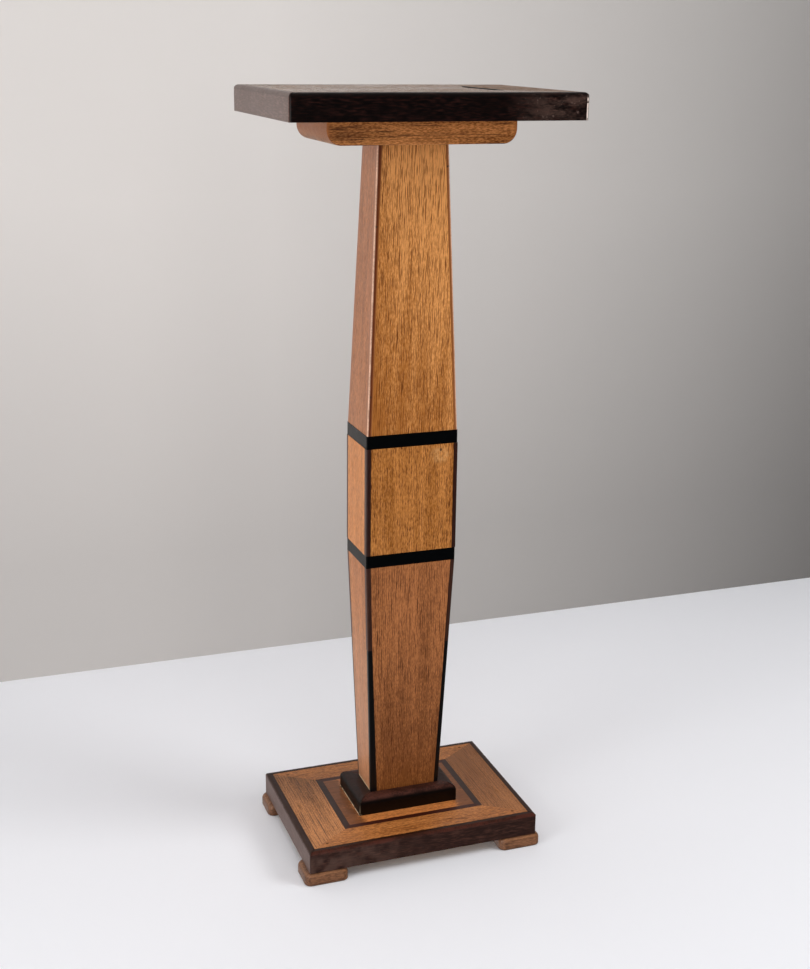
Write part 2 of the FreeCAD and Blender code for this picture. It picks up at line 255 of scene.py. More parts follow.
class PedestalStage(bpy.types.PropertyGroup):
    """Colours of the stage and strength of its lights"""
    floor: colour("Floor", "Colour of the floor", (248, 249, 254))
    wall: colour("Wall", "Colour of the backdrop", (222, 217, 213))
    wall_shade: colour("Wall shade", "What the backdrop darkens to", (8, 8, 8))
    wall_distance: length("Wall distance", "From the pedestal's centre back to the backdrop", 650.0)
    window: light_power("Window", "Upright soft light on the left", 14.0)
    front: light_power("Front light", "Large soft light in front, as high as the camera", 22.0)
    key: light_power("Key light", "Soft light on the right, which throws the shadow to the left", 34.0)
    overhead: light_power("Overhead light", "Large soft light above", 20.0)
    sky_left: share("Left sky", "Strength of the sky on the left", 0.62)
    sky_right: share("Right sky", "Strength of the sky in front on the right", 0.06)
    sky_seen: share("Seen sky", "Strength of the sky where the camera sees it", 0.75)
    camera_yaw: angle("Camera yaw", "How far the camera is turned to the right from facing the front",
                      19.996)
    camera_pitch: angle("Camera pitch", "How far the camera looks down", 17.189)
    camera_roll: angle("Camera roll", "How far the camera is tilted", 0.745)
    camera_place: bpy.props.FloatVectorProperty(
        name="Camera place", description="Where the camera stands",
        default=(-0.6174, -1.7110, 1.0616), size=3, subtype="TRANSLATION", unit="LENGTH")
    camera_lens: bpy.props.FloatProperty(
        name="Camera lens", description="Focal length for a sensor as high as the picture",
        default=54.036, min=1.0, unit="CAMERA")


# Node trees

ORIGIN = (0.0, 0.0, 0.0)
MIDDLE = 0.5  # of a noise


class Field:
    """A value in a node tree that can be reckoned with like a number."""

    def __init__(self, net, socket):
        self.net = net
        self.socket = socket

    def __add__(self, other):
        return self.net.math("ADD", self, other)

    def __sub__(self, other):
        return self.net.math("SUBTRACT", self, other)

    def __rsub__(self, other):
        return self.net.math("SUBTRACT", other, self)

    def __mul__(self, other):
        return self.net.math("MULTIPLY", self, other)

    def __truediv__(self, other):
        return self.net.math("DIVIDE", self, other)

    def __abs__(self):
        return self.net.math("ABSOLUTE", self)


class Net:
    """Adds nodes to one tree, and sets or links their inputs."""

    def __init__(self, tree):
        self.tree = tree

    def add(self, kind, inputs=None, **settings):
        node = self.tree.nodes.new(kind)
        for name, value in settings.items():
            setattr(node, name, value)
        for name, value in (inputs or {}).items():
            self.feed(node.inputs[name], value)
        return node

    def feed(self, socket, value):
        if isinstance(value, Field):
            self.tree.links.new(value.socket, socket)
        elif socket.type == "RGBA":
            socket.default_value = (*value, 1.0)
        else:
            socket.default_value = value

    def put_out(self, values):
        """Feeds the outputs of a new tree by name, and gives the tree."""
        for label, value in values.items():
            self.feed(self.result.inputs[label], value)
        return self.tree

    def field(self, kind, inputs=None, output=0, **settings):
        return Field(self, self.add(kind, inputs, **settings).outputs[output])

    def math(self, operation, first, second=0.0, clamp=False):
        return self.field("ShaderNodeMath", {0: first, 1: second}, operation=operation, use_clamp=clamp)

    def most(self, first, second):
        return self.math("MAXIMUM", first, second)

    def least(self, first, second):
        return self.math("MINIMUM", first, second)

    def over(self, value, limit=0.0):
        return self.math("GREATER_THAN", value, limit)

    def under(self, value, limit=0.0):
        return self.math("LESS_THAN", value, limit)

    def vector(self, x, y, z):
        return self.field("ShaderNodeCombineXYZ", {"X": x, "Y": y, "Z": z})

    def split(self, vector):
        node = self.add("ShaderNodeSeparateXYZ", {"Vector": vector})
        return [Field(self, socket) for socket in node.outputs]

    def scaled(self, vector, factor):
        return self.field("ShaderNodeVectorMath", {"Vector": vector, "Scale": factor}, operation="SCALE")

    def ramp(self, value, start, end):
        """Rises smoothly from 0 at start to 1 at end."""
        return self.field("ShaderNodeMapRange", {"Value": value, "From Min": start, "From Max": end},
                          interpolation_type="SMOOTHSTEP")

    def between(self, value, start, end, first, last):
        """Goes straight from first at start to last at end."""
        return self.field("ShaderNodeMapRange", {"Value": value, "From Min": start, "From Max": end,
                                                 "To Min": first, "To Max": last})

    def mix(self, factor, first, second):
        return self.field("ShaderNodeMix", {"Factor": factor, 6: first, 7: second}, output=2,
                          data_type="RGBA")

    def noise(self, vector, detail=0.0):
        return self.field("ShaderNodeTexNoise", {"Vector": vector, "Scale": 1.0, "Detail": detail})

    def clouds(self, place, size, detail=2.0):
        """Noise in clouds of one size."""
        return self.noise(self.scaled(place, 1 / size), detail)

    def patches(self, place, size, low, high, detail=2.0):
        """Patches of one size where their noise rises from low to high."""
        return self.ramp(self.clouds(place, size, detail), low, high)

    def stretched(self, grain, width, length):
        """Places across, along and through a grain, counted in rooms of one width and length."""
        across, along, through = grain
        return self.vector(across / width, along / length, through / width)

    def fibres(self, grain, width, length, detail=0.0):
        """Noise drawn out along a grain."""
        return self.noise(self.stretched(grain, width, length), detail)

    def cells(self, vector):
        """Distance to the nearest of many scattered points, and a chance value of that point's own."""
        node = self.add("ShaderNodeTexVoronoi", {"Vector": vector, "Scale": 1.0})
        chance = self.field("ShaderNodeSeparateColor", {"Color": Field(self, node.outputs["Color"])})
        return Field(self, node.outputs["Distance"]), chance

    def place(self):
        """Place on the object, in millimetres."""
        return self.scaled(self.field("ShaderNodeTexCoord", output="Object"), PER_METRE)

    def use(self, build, inputs):
        """Places a shared group, made when it is first used, and gives its outputs by name."""
        node = self.add("ShaderNodeGroup", node_tree=shared_tree(build))
        for name, value in inputs.items():
            self.feed(node.inputs[name], value)
        return {socket.name: Field(self, socket) for socket in node.outputs}


SOCKETS = {float: "NodeSocketFloat", int: "NodeSocketInt", tuple: "NodeSocketVector",
           type(None): "NodeSocketMaterial"}
shared_trees = {}


def shared_tree(build):
    if build not in shared_trees:
        shared_trees[build] = build()
    return shared_trees[build]


def new_tree(kind, name, inputs, outputs):
    """Node tree with named inputs and outputs: its net and its input values."""
    tree = bpy.data.node_groups.new(name, kind)
    for label, default in inputs.items():
        socket = tree.interface.new_socket(label, in_out="INPUT", socket_type=SOCKETS[type(default)])
        if default is not None:
            socket.default_value = default
    for label, socket_type in outputs.items():
        tree.interface.new_socket(label, in_out="OUTPUT", socket_type=socket_type)
    net = Net(tree)
    given = net.add("NodeGroupInput")
    net.result = net.add("NodeGroupOutput")
    return net, {label: Field(net, given.outputs[label]) for label in inputs}


def shader_group(name, inputs, *outputs):
    return new_tree("ShaderNodeTree", name, inputs, {label: "NodeSocketFloat" for label in outputs})


def shape_tree(name, inputs):
    return new_tree("GeometryNodeTree", name, inputs, {"Geometry": "NodeSocketGeometry"})


# Shared effects

def grain_lines():
    """Places across, along and through the wood, bent so that lines along them wander as grain does."""
    slow_width, slow_length, slow_part = 50.0, 170.0, 2.0
    quick_width, quick_length, quick_part = 9.0, 40.0, 0.3
    seed_step = 37.0
    net, given = new_tree("ShaderNodeTree", "Grain lines",
                          {"Place": ORIGIN, "Lean": 0.0, "Wander": 3.0, "Seed": 0.0},
                          {"Grain": "NodeSocketVector"})
    across, along, through = net.split(given["Place"])
    seed = given["Seed"] * seed_step

    def wave(width, length):
        return net.noise(net.vector(across / width + seed, along / length, through / width)) - MIDDLE

    bend = wave(slow_width, slow_length) * slow_part + wave(quick_width, quick_length) * quick_part
    bent = across + along * given["Lean"] + bend * given["Wander"]
    return net.put_out({"Grain": net.vector(bent + seed, along + seed, through)})


def oak_figure():
    """Figure of oak along its grain: broad tone, rows of fine dark lines, pores and long dark streaks."""
    band_width, band_length, band_span = 14.0, 260.0, (0.3, 0.7)
    fleck_width, fleck_length, fleck_span, fleck_part = 1.1, 4.5, (0.36, 0.64), 0.55
    drift_width, drift_rooms, drift_turns = 7.0, 8.0, 2.6
    fine_rooms, fine_part, row_part, line_span = 0.6, 2.6, 0.5, (-0.1, 0.8)
    break_rooms, break_span = 2.0, (0.3, 0.6)
    pore_rooms, pore_span, pore_share = 0.6, (0.42, 0.14), 0.5
    streak_width, streak_length, streak_span = 0.8, 75.0, (0.63, 0.72)
    net, given = shader_group("Oak figure", {"Grain": ORIGIN, "Line Width": 3.0, "Line Length": 12.0},
                              "Tone", "Lines", "Pores", "Streaks")
    grain = net.split(given["Grain"])
    width, length = given["Line Width"], given["Line Length"]
    bands = net.ramp(net.fibres(grain, band_width, band_length, detail=3.0), *band_span)
    flecks = net.ramp(net.fibres(grain, fleck_width, fleck_length, detail=1.0), *fleck_span)
    drift = net.fibres(grain, drift_width, length * drift_rooms, detail=2.0)
    rows = net.math("SINE", (grain[0] / width + drift * drift_turns) * math.tau)
    fine = net.fibres(grain, width * fine_rooms, length, detail=2.0) - MIDDLE
    breaks = net.ramp(net.fibres(grain, width, length * break_rooms, detail=2.0), *break_span)
    distance, chance = net.cells(net.stretched(grain, width * pore_rooms, length))
    return net.put_out({
        "Tone": bands * (1 - fleck_part) + flecks * fleck_part,
        "Lines": net.ramp(rows * row_part + fine * fine_part, *line_span) * breaks,
        "Pores": net.ramp(distance, *pore_span) * net.under(chance, pore_share),
        "Streaks": net.ramp(net.fibres(grain, streak_width, streak_length), *streak_span)})


def stained_figure():
    """Figure of stained wood along its grain: mottled tone, streaks and light scuffs."""
    mottle_width, mottle_length, mottle_span = 9.0, 40.0, (0.3, 0.7)
    streak_width, streak_length, streak_span = 1.5, 11.0, (0.4, 0.75)
    scuff_width, scuff_length, scuff_span = 5.0, 3.0, (0.66, 0.78)
    net, given = shader_group("Stained figure", {"Grain": ORIGIN}, "Tone", "Streaks", "Scuffs")
    grain = net.split(given["Grain"])
    return net.put_out({
        "Tone": net.ramp(net.fibres(grain, mottle_width, mottle_length, detail=2.0), *mottle_span),
        "Streaks": net.ramp(net.fibres(grain, streak_width, streak_length, detail=3.0), *streak_span),
        "Scuffs": net.ramp(net.fibres(grain, scuff_width, scuff_length, detail=3.0), *scuff_span)})


def edge_wear_and_highlight():
    """Where a finish is rubbed: near an edge, uneven and specked."""
    patch_size, speck_size, speck_part, span = 20.0, 2.4, 0.5, (0.38, 0.62)
    net, given = shader_group(
        "Edge wear", {"Place": ORIGIN, "Closeness": 0.0, "Amount": 0.5, "Even": 0.6}, "Worn")
    patches = net.clouds(given["Place"], patch_size)
    specks = net.clouds(given["Place"], speck_size)
    uneven = net.ramp(patches * (1 - speck_part) + specks * speck_part, *span)
    rubbed = uneven + (1.0 - uneven) * given["Even"]
    return net.put_out({"Worn": given["Closeness"] * given["Amount"] * rubbed})


def handling():
    """Smears that dull a lacquer, from broad cloudy ones to fine ones."""
    broad_size, fine_size, fine_part = 70.0, 12.0, 0.4
    net, given = shader_group("Handling", {"Place": ORIGIN}, "Smears")
    broad = net.clouds(given["Place"], broad_size)
    fine = net.clouds(given["Place"], fine_size)
    return net.put_out({"Smears": broad * (1 - fine_part) + fine * fine_part})


def tapered_section():
    """Distances on a tapered length of the column: in from its sides and faces, and from its ends."""
    net, given = shader_group(
        "Tapered section",
        {"Place": ORIGIN, "Low": 0.0, "High": 1.0, "Low Half X": 1.0, "High Half X": 1.0,
         "Low Half Y": 1.0, "High Half Y": 1.0},
        "From Side", "From Face", "From Foot", "From Head")
    x, y, z = net.split(given["Place"])
    low, high = given["Low"], given["High"]

    def half(axis):
        return net.between(z, low, high, given["Low Half " + axis], given["High Half " + axis])

    return net.put_out({"From Side": half("X") - abs(x), "From Face": half("Y") - abs(y),
                        "From Foot": z - low, "From Head": high - z})


def soft_spot():
    """A mark with a soft edge at one place, with its own reach along X, Y and Z."""
    core_share = 0.45
    net, given = shader_group(
        "Soft spot", {"Place": ORIGIN, "Centre": ORIGIN, "Reach": (1.0, 1.0, 1.0)}, "Mark")
    kind = "ShaderNodeVectorMath"
    offset = net.field(kind, {0: given["Place"], 1: given["Centre"]}, operation="SUBTRACT")
    shares = net.field(kind, {0: offset, 1: given["Reach"]}, operation="DIVIDE")
    distance = net.field(kind, {0: shares}, output="Value", operation="LENGTH")
    return net.put_out({"Mark": net.ramp(distance, 1.0, core_share)})


# Materials

def new_material(name):
    material = bpy.data.materials.new(name)
    material.use_nodes = True
    material.node_tree.nodes.clear()
    return material, Net(material.node_tree)


def lay_finish(net, base, roughness, height, metallic=0.0, specular=0.5):
    """Shader of a finished surface, whose height is in millimetres."""
    bump = net.field("ShaderNodeBump", {"Height": height, "Distance": MM, "Strength": 1.0})
    shader = net.field("ShaderNodeBsdfPrincipled", {
        "Base Color": base, "Roughness": roughness, "Normal": bump, "Metallic": metallic,
        "Specular IOR Level": specular})
    net.add("ShaderNodeOutputMaterial", {"Surface": shader})


def grain_order(net, place, grain):
    """Places across, along and through wood whose grain runs along one axis.

    The grain zx runs along Z on a face that looks along X.
    """
    x, y, z = net.split(place)
    orders = {"x": (y, x, z), "y": (x, y, z), "z": (x, z, y), "zx": (y, z, x)}
    return net.vector(*orders[grain])


def oak(name, finish, grain, seed=0.0, lean=0.0, gloss=0.4, relief=1.0, specular=0.5,
        shift=None, marks=None):
    """Lacquered oak. Shift moves its tone over the surface, and marks are laid over its colour."""
    pore_part, streak_part = 0.6, 0.9
    pore_gloss, smear_gloss = 0.2, 0.2
    pore_depth, streak_depth, line_depth = 0.08, 0.08, 0.03
    material, net = new_material(name)
    place = net.place()
    lines = net.use(grain_lines, {"Place": grain_order(net, place, grain), "Lean": lean, "Seed": seed,
                                  "Wander": finish.wander * PER_METRE})["Grain"]
    figure = net.use(oak_figure, {"Grain": lines, "Line Width": finish.line_width * PER_METRE,
                                  "Line Length": finish.line_length * PER_METRE})
    smears = net.use(handling, {"Place": place})["Smears"]
    tone = figure["Tone"] if shift is None else figure["Tone"] + shift(net, place)
    streaks = figure["Streaks"] * finish.streaks
    base = net.mix(net.math("ADD", tone, 0.0, clamp=True), finish.dark, finish.light)
    base = net.mix(figure["Lines"] * finish.lines, base, finish.pore)
    base = net.mix(figure["Pores"] * finish.lines * pore_part, base, finish.pore)
    base = net.mix(streaks * streak_part, base, finish.pore)
    if marks is not None:
        base = marks(net, place, base)
    roughness = (figure["Pores"] * (pore_gloss * relief) + (smears - MIDDLE) * (smear_gloss * relief)
                 + gloss)
    height = figure["Pores"] * -pore_depth - streaks * streak_depth - figure["Lines"] * line_depth
    lay_finish(net, base, roughness, height * relief, specular=specular)
    return material


def stain(name, finish, grain, closeness, seed=0.0, marks=None, specular=0.5, even=0.6):
    """Stained and lacquered wood, rubbed where closeness to its edges is high."""
    streak_part, tone_part, scuff_part = 0.75, 0.35, 0.2
    scuff_gloss, smear_gloss, worn_gloss = 0.12, 0.2, 0.1
    streak_depth, worn_depth = 0.03, 0.05
    wander = 2.0
    material, net = new_material(name)
    place = net.place()
    lines = net.use(grain_lines, {"Place": grain_order(net, place, grain), "Seed": seed,
                                  "Wander": wander})["Grain"]
    figure = net.use(stained_figure, {"Grain": lines})
    smears = net.use(handling, {"Place": place})["Smears"]
    # On the strings and bands, worn also carries a painted corner highlight.
    worn = net.use(edge_wear_and_highlight, {"Place": place, "Closeness": closeness(net, place),
                               "Amount": finish.wear, "Even": even})["Worn"]
    streaks = figure["Streaks"] * streak_part * (figure["Tone"] * (1 - tone_part) + tone_part)
    base = net.mix(streaks, finish.ground, finish.streak)
    base = net.mix(figure["Scuffs"] * scuff_part, base, finish.streak)
    if marks is not None:
        base = marks(net, place, base)
    base = net.mix(worn, base, finish.worn)
    roughness = (figure["Scuffs"] * scuff_gloss + worn * worn_gloss + (smears - MIDDLE) * smear_gloss
                 + finish.roughness)
    height = figure["Streaks"] * -streak_depth - worn * worn_depth
    lay_finish(net, base, roughness, height, specular=specular)
    return material


def softwood(name):
    """Bare softwood with growth rings and grime, as on the boards' undersides."""
    light, dark, darkening = srgb(186, 146, 96), srgb(146, 104, 60), srgb(96, 62, 36)
    ring_width, ring_length, ring_turns, ring_part = 60.0, 420.0, 5.0, 0.8
    late_span, end_span = (0.55, 0.95), (1.0, 0.96)
    fibre_width, fibre_length, fibre_span, fibre_part = 1.0, 50.0, (0.45, 0.75), 0.3
    grime_size, grime_span, grime_part = 55.0, (0.45, 0.75), 0.35
    gloss, fibre_gloss, depth = 0.68, 0.15, 0.06
    material, net = new_material(name)
    place = net.place()
    x, y, z = net.split(place)
    grain = y, x, z
    rings = net.math("FRACT", net.fibres(grain, ring_width, ring_length, detail=1.0) * ring_turns)
    late = net.ramp(rings, *late_span) * net.ramp(rings, *end_span)
    fibres = net.fibres(grain, fibre_width, fibre_length, detail=2.0)
    grime = net.patches(place, grime_size, *grime_span, detail=3.0)
    base = net.mix(late * ring_part, light, dark)
    base = net.mix(net.ramp(fibres, *fibre_span) * fibre_part, base, dark)
    base = net.mix(grime * grime_part, base, darkening)
    lay_finish(net, base, fibres * fibre_gloss + gloss, late * depth - fibres * depth)
    return material


def dull_steel(name):
    """Steel that has dulled, with brown spots."""
    steel, rust = srgb(150, 148, 145), srgb(96, 62, 42)
    spot_size, spot_span, spot_part, spot_dulling, spot_height = 1.6, (0.52, 0.66), 0.8, 0.7, 0.03
    scratch_size, scratch_height = 0.5, 0.02
    bright, rough = 0.34, 0.7
    material, net = new_material(name)
    place = net.place()
    spots = net.patches(place, spot_size, *spot_span, detail=3.0)
    scratches = net.clouds(place, scratch_size)
    lay_finish(net, net.mix(spots * spot_part, steel, rust), net.between(spots, 0.0, 1.0, bright, rough),
               scratches * scratch_height + spots * spot_height, metallic=1.0 - spots * spot_dulling)
    return material


def brown_filler(name):
    """Matt filler, a little uneven."""
    light, dark = srgb(134, 86, 48), srgb(82, 50, 28)
    lump_size, lump_span, lump_depth, lump_gloss, gloss = 1.2, (0.3, 0.7), 0.12, 0.2, 0.66
    material, net = new_material(name)
    lumps = net.clouds(net.place(), lump_size, detail=3.0)
    lay_finish(net, net.mix(net.ramp(lumps, *lump_span), dark, light), lumps * lump_gloss + gloss,
               lumps * lump_depth)
    return material


def lay_one_sided(net, base):
    """Matt paint on a sheet's front only; from behind the sheet is clear."""
    roughness, specular = 0.7, 0.2
    paint = net.field("ShaderNodeBsdfPrincipled", {
        "Base Color": base, "Roughness": roughness, "Specular IOR Level": specular})
    behind = net.field("ShaderNodeNewGeometry", output="Backfacing")
    clear = net.field("ShaderNodeBsdfTransparent")
    shown = net.field("ShaderNodeMixShader", {0: behind, 1: paint, 2: clear})
    net.add("ShaderNodeOutputMaterial", {"Surface": shown})


def floor_paint(name, stage):
    """Pale matt paint with a faint unevenness, clear from below."""
    cloud_size, faint = 400.0, 0.04
    material, net = new_material(name)
    clouds = net.clouds(net.place(), cloud_size)
    lay_one_sided(net, net.mix(clouds * faint, stage.floor, stage.wall))
    return material


def wall_paint(name, stage):
    """Grey matt paint that darkens to the right and towards the floor, clear from behind."""
    right_start, right_end, right_least = 0.0, 1300.0, 0.26
    low, high, low_share = 200.0, 800.0, 0.76
    material, net = new_material(name)
    x, _, z = net.split(net.place())
    shade = (net.between(x, right_start, right_end, 1.0, right_least)
             * net.between(z, low, high, low_share, 1.0))
    lay_one_sided(net, net.mix(shade, stage.wall_shade, stage.wall))
    return material


# Pieces

def placed(name, data):
    """New object in the scene."""
    item = bpy.data.objects.new(name, data)
    bpy.context.scene.collection.objects.link(item)
    return item


def dress(material, *nodes):
    """Gives CAD nodes their material."""
    for node in nodes:
        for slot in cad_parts[node].material_slots:
            slot.material = material


def stand_for(piece, node):
    """Makes a piece stand for a CAD node, on its body."""
    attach(piece, BODY)
    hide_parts(node)


def box_mm(node):
    """Lowest and highest corner of a CAD node's box, in millimetres."""
    return [corner * PER_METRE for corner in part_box(node)]


def grown(name, tree, inputs):
    """Object with a plain mesh, made by a node tree from named inputs."""
    seed_mesh = bpy.data.meshes.new(name + "_seed")
    piece = placed(name, seed_mesh)
    modifier = piece.modifiers.new("Shape", "NODES")
    modifier.node_group = tree
    sockets = {item.name: item.identifier for item in tree.interface.items_tree if item.in_out == "INPUT"}
    for label, value in inputs.items():
        modifier[sockets[label]] = value
    evaluated = piece.evaluated_get(bpy.context.evaluated_depsgraph_get())
    mesh = bpy.data.meshes.new_from_object(evaluated)
    if not mesh.polygons:
        raise RuntimeError(f"the node tree {tree.name} made no faces for {name}")
    piece.modifiers.remove(modifier)
    piece.data = mesh
    mesh.name = name
    bpy.data.meshes.remove(seed_mesh)
    return piece


def even_normals(piece, sharp_angle=math.radians(35.0)):
    """Shades flat faces flat and rounded edges round."""
    piece.data.set_sharp_from_angle(angle=sharp_angle)
    weighting = piece.modifiers.new("Even normals", "WEIGHTED_NORMAL")
    weighting.keep_sharp = True


def mitred_rail():
    """Bar with one rounded edge and mitred ends, knocked here and there along the rounded edge.

    It leaves how close a point is to that edge and to the mitre in the attributes arris and mitre.
    """
    rings, arc_steps = 150, 7
    arris_reach, arris_core = 1.5, 0.6
    mitre_reach = 1.2 * MM
    knock_size, knock_span = 9.0 * MM, (0.56, 0.72)
    wave_size, wave_part = 45.0 * MM, 0.5
    smallest = 1e-6
    net, given = shape_tree("Mitred rail", {
        "Half Length": 0.18, "Depth": 0.01, "Height": 0.03, "Out": 0.13, "Low": 0.0, "Turn": 0.0,
        "Mitre Slope": 1.0, "Mitre Gap": 0.0001, "Edge Radius": 0.006, "Corner Radius": 0.003,
        "Ease": 0.0005, "Knock Depth": 0.0004, "Material": None})
    half, depth, height = given["Half Length"], given["Depth"], given["Height"]
    edge, corner, ease = given["Edge Radius"], given["Corner Radius"], given["Ease"]
    position = net.field("GeometryNodeInputPosition")

    # The section lies with its outer side at +X and its top at -Y.
    section_x, section_y, _ = net.split(position)
    is_arris = net.over(section_x) * net.under(section_y)
    section = net.field("GeometryNodeCurvePrimitiveQuadrilateral", {"Width": depth, "Height": height})
    section = net.field("GeometryNodeFilletCurve", {
        "Curve": section, "Count": arc_steps, "Radius": ease + (edge - ease) * is_arris,
        "Limit Radius": True}, mode="POLY")
    spine = net.field("GeometryNodeCurvePrimitiveLine",
                      {"Start": net.vector(half * -1.0, 0.0, 0.0), "End": net.vector(half, 0.0, 0.0)})
    spine = net.field("GeometryNodeResampleCurve", {"Curve": spine, "Count": rings})
    bar = net.field("GeometryNodeCurveToMesh",
                    {"Curve": spine, "Profile Curve": section, "Fill Caps": True})

    # The rings crowd towards the ends, which are drawn in to the mitre and rounded in plan.
    x, y, z = net.split(position)
    inward = y + depth * 0.5
    crowded = net.math("SINE", x / half * (math.pi / 2)) * half
    limit = half - inward * given["Mitre Slope"] - given["Mitre Gap"]
    drawn = crowded * limit / half
    from_end = half - abs(drawn)
    over_end = net.most(corner - from_end, 0.0)
    over_face = net.most(corner - inward, 0.0)
    reach = net.math("SQRT", over_end * over_end + over_face * over_face)
    pull = 1.0 - net.least(corner / net.most(reach, smallest), 1.0)
    rounded_x = net.math("SIGN", x) * (abs(drawn) - over_end * pull)
    down = height * 0.5 - z
    arris_distance = net.math("SQRT", inward * inward + down * down)
    arris = net.ramp(arris_distance, edge * arris_reach, edge * arris_core)
    mitre = net.ramp(limit - abs(drawn), mitre_reach, 0.0)
    for label, value in (("arris", arris), ("mitre", mitre)):
        bar = net.field("GeometryNodeStoreNamedAttribute",
                        {"Geometry": bar, "Name": label, "Value": value})
    bar = net.field("GeometryNodeSetPosition",
                    {"Geometry": bar, "Position": net.vector(rounded_x, y + over_face * pull, z)})
    bar = net.field("GeometryNodeTransform", {
        "Geometry": bar,
        "Translation": net.vector(0.0, depth * 0.5 - given["Out"], given["Low"] + height * 0.5)})
    bar = net.field("GeometryNodeTransform",
                    {"Geometry": bar, "Rotation": net.vector(0.0, 0.0, given["Turn"])})

    kept_arris = net.field("GeometryNodeInputNamedAttribute", {"Name": "arris"})
    knocks = net.patches(position, knock_size, *knock_span, detail=1.0)
    waves = net.clouds(position, wave_size, detail=0.0)
    sunk = (knocks + waves * wave_part) * kept_arris * given["Knock Depth"]
    normal = net.field("GeometryNodeInputNormal")
    bar = net.field("GeometryNodeSetPosition",
                    {"Geometry": bar, "Offset": net.scaled(normal, sunk * -1.0)})
    bar = net.field("GeometryNodeSetShadeSmooth", {"Geometry": bar})
    bar = net.field("GeometryNodeRealizeInstances", {"Geometry": bar})
    bar = net.field("GeometryNodeSetMaterial", {"Geometry": bar, "Material": given["Material"]})
    return net.put_out({"Geometry": bar})


def slotted_screws():
    """Countersunk screws with slotted heads, in pairs across X and Y about the centre."""
    sides, seed, weld = 32, 4, 0.01 * MM
    tip_share, slot_overrun = 0.02, 4.0
    net, given = shape_tree("Slotted screws", {
        "Count": 4, "Reach X": 0.02, "Reach Y": 0.0, "Level": 0.0, "Tilt": 0.0, "Length": 0.05,
        "Head Radius": 0.0044, "Head Height": 0.0026, "Shank Radius": 0.0022, "Tip": 0.004,
        "Slot Width": 0.0011, "Slot Depth": 0.0013, "Material": None})
    head, head_height, shank = given["Head Radius"], given["Head Height"], given["Shank Radius"]
    shoulder = given["Length"] - given["Tip"]

    def length_of(low_radius, high_radius, low, high):
        """Open turned length from one level up to another."""
        cone = net.field("GeometryNodeMeshCone", {
            "Vertices": sides, "Radius Bottom": low_radius, "Radius Top": high_radius,
            "Depth": high - low}, fill_type="NONE")
        return net.field("GeometryNodeTransform",
                         {"Geometry": cone, "Translation": net.vector(0.0, 0.0, low)})

    lid = net.field("GeometryNodeMeshCircle", {"Vertices": sides, "Radius": head}, fill_type="NGON")
    lid = net.field("GeometryNodeFlipFaces", {"Mesh": lid})
    lengths = (length_of(head, shank, head_height * 0.0, head_height),
               length_of(shank, shank, head_height, shoulder),
               length_of(shank, shank * tip_share, shoulder, given["Length"]))
    join = net.add("GeometryNodeJoinGeometry")
    for piece in (lid, *lengths):
        net.feed(join.inputs["Geometry"], piece)
    body = net.field("GeometryNodeMergeByDistance",
                     {"Geometry": Field(net, join.outputs[0]), "Distance": weld})
    slot = net.field("GeometryNodeMeshCube", {"Size": net.vector(
        head * slot_overrun, given["Slot Width"], given["Slot Depth"] * 2.0)})
    body = net.field("GeometryNodeMeshBoolean", {"Mesh 1": body, "Mesh 2": slot}, operation="DIFFERENCE")

    index = net.field("GeometryNodeInputIndex")
    row = net.math("FLOOR", index / 2.0)
    column = index - row * 2.0
    spots = net.vector(given["Reach X"] * (column * 2.0 - 1.0), given["Reach Y"] * (row * 2.0 - 1.0),
                       given["Level"])
    points = net.field("GeometryNodePoints", {"Count": given["Count"], "Position": spots})
    turn = net.field("FunctionNodeRandomValue", {"Seed": seed}, output=1, data_type="FLOAT")
    screws = net.field("GeometryNodeInstanceOnPoints", {
        "Points": points, "Instance": body, "Rotation": net.vector(given["Tilt"], 0.0, turn * math.pi)})
    screws = net.field("GeometryNodeRealizeInstances", {"Geometry": screws})
    screws = net.field("GeometryNodeSetMaterial", {"Geometry": screws, "Material": given["Material"]})
    return net.put_out({"Geometry": screws})


def rail_piece(node, side, material, shapes, edge, corner, depth=None, slope=1.0):
    """Rail that stands for one CAD rail, as long, high and far out as it."""
    low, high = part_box(node)
    spans = {"front": (high.x, -low.y, -high.y), "right": (high.y, high.x, low.x),
             "back": (high.x, high.y, low.y), "left": (high.y, -low.x, -high.x)}
    along, out, inner = spans[side]
    piece = grown(node + "_finished", shared_tree(mitred_rail), {
        "Half Length": along, "Depth": out - inner if depth is None else depth, "Height": high.z - low.z,
        "Out": out, "Low": low.z, "Turn": TURNS[side], "Mitre Slope": slope, "Mitre Gap": shapes.mitre_gap,
        "Edge Radius": edge, "Corner Radius": corner, "Ease": shapes.rail_ease,
        "Knock Depth": shapes.knock_depth, "Material": material})
    even_normals(piece)
    stand_for(piece, node)


def rail_mark(net, name):
    """What a rail's mesh says at a point, from 0 to 1."""
    return net.field("ShaderNodeAttribute", output="Fac", attribute_name=name)


def arris_closeness(net, place):
    """How close a rail's surface is to the middle of its rounded edge."""
    start, end = 0.5, 1.0
    return net.ramp(rail_mark(net, "arris"), start, end)


class Taper(namedtuple("Taper", "low high low_half high_half")):
    """A tapered length of the column, in millimetres: its levels, and its half sizes there."""

    def half_at(self, level):
        share = (level - self.low) / (self.high - self.low)
        return [low + (high - low) * share for low, high in zip(self.low_half, self.high_half)]


def taper_of(node):
    """Length of the column that a node of corner strings, or a band, covers."""
    level_tolerance = 0.01
    points = [vertex.co * PER_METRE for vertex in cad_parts[node].data.vertices]
    low, high = min(point.z for point in points), max(point.z for point in points)

    def half_at(level):
        ring = [point for point in points if abs(point.z - level) < level_tolerance]
        return max(abs(point.x) for point in ring), max(abs(point.y) for point in ring)

    return Taper(low, high, half_at(low), half_at(high))


